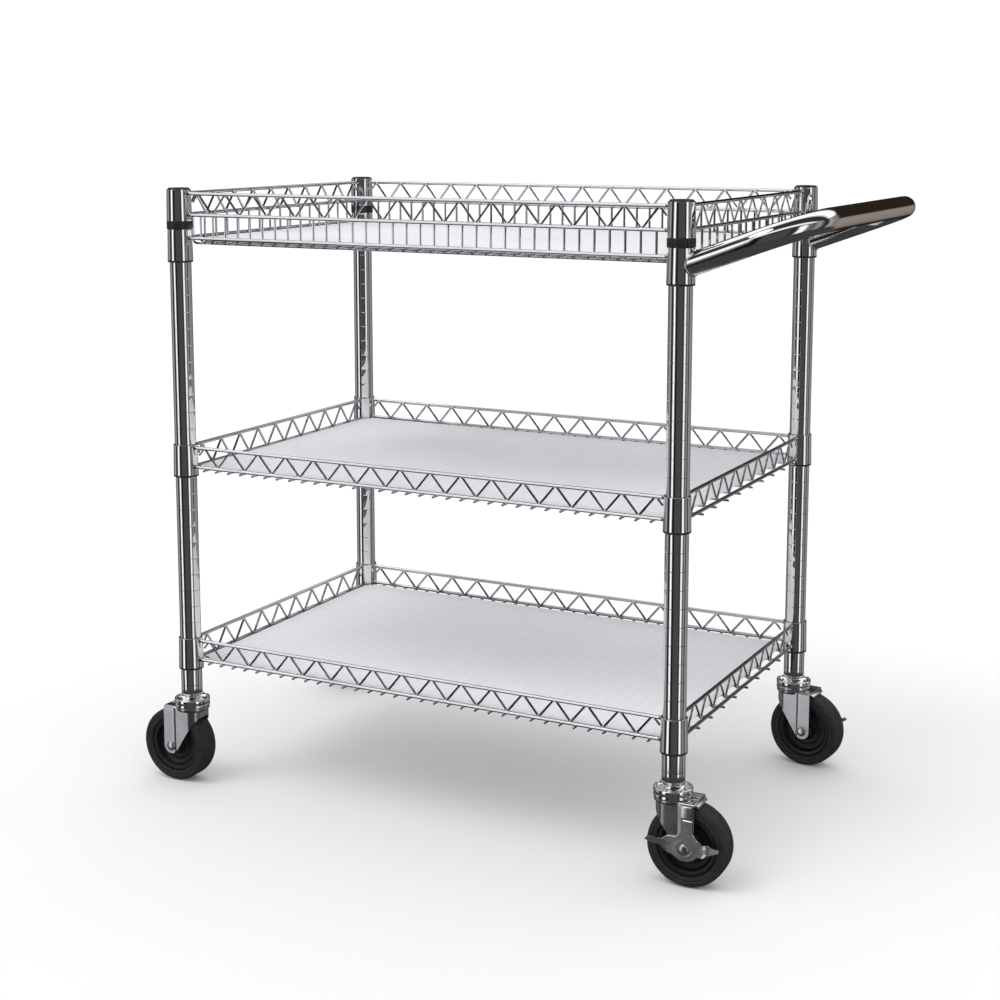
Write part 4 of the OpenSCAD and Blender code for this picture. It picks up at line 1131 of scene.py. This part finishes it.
# The studio as seen by mirror rays. WALLS is brightness against the angle from the camera's side,
# in degrees, positive to the right: two narrow lit strips between dark flags, and a dark far wall.
# ROOF is brightness against the angle up from the camera's side and over to the far wall.
WALLS = [
    (-180, 0.02), (-158, 0.015), (-150, 0.24), (-126, 0.14), (-108, 0.42), (-98, 0.24), (-90, 0.02),
    (-76, 0.004), (-68, 0.7), (-64, 1.3), (-56, 1.3), (-51, 0.25), (-46, 0.01), (-36, 0.006),
    (-29, 0.065), (14, 0.075), (24, 0.03), (31, 0.05), (37, 1.2), (46, 1.2), (51, 0.22), (62, 0.10),
    (73, 0.36), (80, 0.16), (87, 0.012), (93, 0.06), (98, 0.42), (112, 0.22), (134, 0.28), (150, 0.2),
    (158, 0.015), (180, 0.02),
]
ROOF = [
    (0, 0.05), (26, 0.035), (36, 0.05), (40, 1.1), (50, 1.15), (54, 0.06), (70, 0.035), (92, 0.03),
    (103, 0.9), (112, 1.35), (134, 1.3), (142, 0.8), (147, 0.04), (165, 0.02), (171, 0.16),
    (174, 0.02), (180, 0.02),
]


def add_world():
    """Soft even light for matt surfaces, a plain backdrop for the camera, and the studio's strips,
    bright ceiling and dark floor for mirror rays. The angle is atan2 of the turned direction."""
    world = bpy.data.worlds.new("studio")
    bpy.context.scene.world = world
    world.use_nodes = True
    world.cycles.sampling_method = "NONE"
    n = Nodes(world.node_tree)
    n.tree.nodes.clear()
    way = n.add("ShaderNodeTexCoord").outputs["Generated"]
    turn = (0, 0, math.pi / 2 + CAMERA_TURN)
    turned = n.add("ShaderNodeMapping", {"Vector": way, "Rotation": turn})
    split = n.add("ShaderNodeSeparateXYZ", {0: turned.outputs[0]})
    angle = n.math("ARCTAN2", split.outputs[1], split.outputs[0])

    def shades(value, marks):
        ramp = n.add("ShaderNodeValToRGB", {0: n.span(value, -math.pi, math.pi)})
        stops = ramp.color_ramp.elements
        while len(stops) > 1:
            stops.remove(stops[-1])
        for k, (degrees, light) in enumerate(marks):
            stop = stops[0] if k == 0 else stops.new(degrees / 360 + 0.5)
            stop.position = degrees / 360 + 0.5
            warm = light < 0.3 and abs(degrees) > 20
            tint = (1.12, 0.98, 0.86) if warm else (0.97, 1.0, 1.05)
            stop.color = (*[light * share for share in tint], 1)
        return ramp.outputs[0]

    height = split.outputs[2]
    over = n.math("ARCTAN2", height, split.outputs[0])
    ceiling = n.span(height, 0.34, 0.44, smooth=True)
    ground = n.span(height, -0.34, -0.46, smooth=True)
    seen = n.blend(ground, shades(angle, WALLS), (0.055, 0.053, 0.055, 1))
    far = n.math("MULTIPLY", n.span(height, 0.0, 0.07), n.span(split.outputs[0], -0.45, -0.62))
    seen = n.blend(far, seen, (0.024, 0.017, 0.012, 1))
    seen = n.blend(ceiling, seen, shades(over, ROOF))
    white = FLOOR_WHITE * (SOFT_LIGHT + SUN_LIGHT * math.sin(math.radians(SUN_HEIGHT)) / math.pi)
    paths = n.add("ShaderNodeLightPath")
    light = n.blend(paths.outputs["Is Glossy Ray"], (SOFT_LIGHT,) * 3 + (1,), seen)
    light = n.blend(paths.outputs["Is Camera Ray"], light, (white,) * 3 + (1,))
    back = n.add("ShaderNodeBackground", {"Color": light})
    out = n.add("ShaderNodeOutputWorld", {"Surface": back.outputs[0]})
    out.is_active_output = True


add_floor()
add_sun()
add_world()
bpy.context.scene.view_settings.view_transform = "Standard"
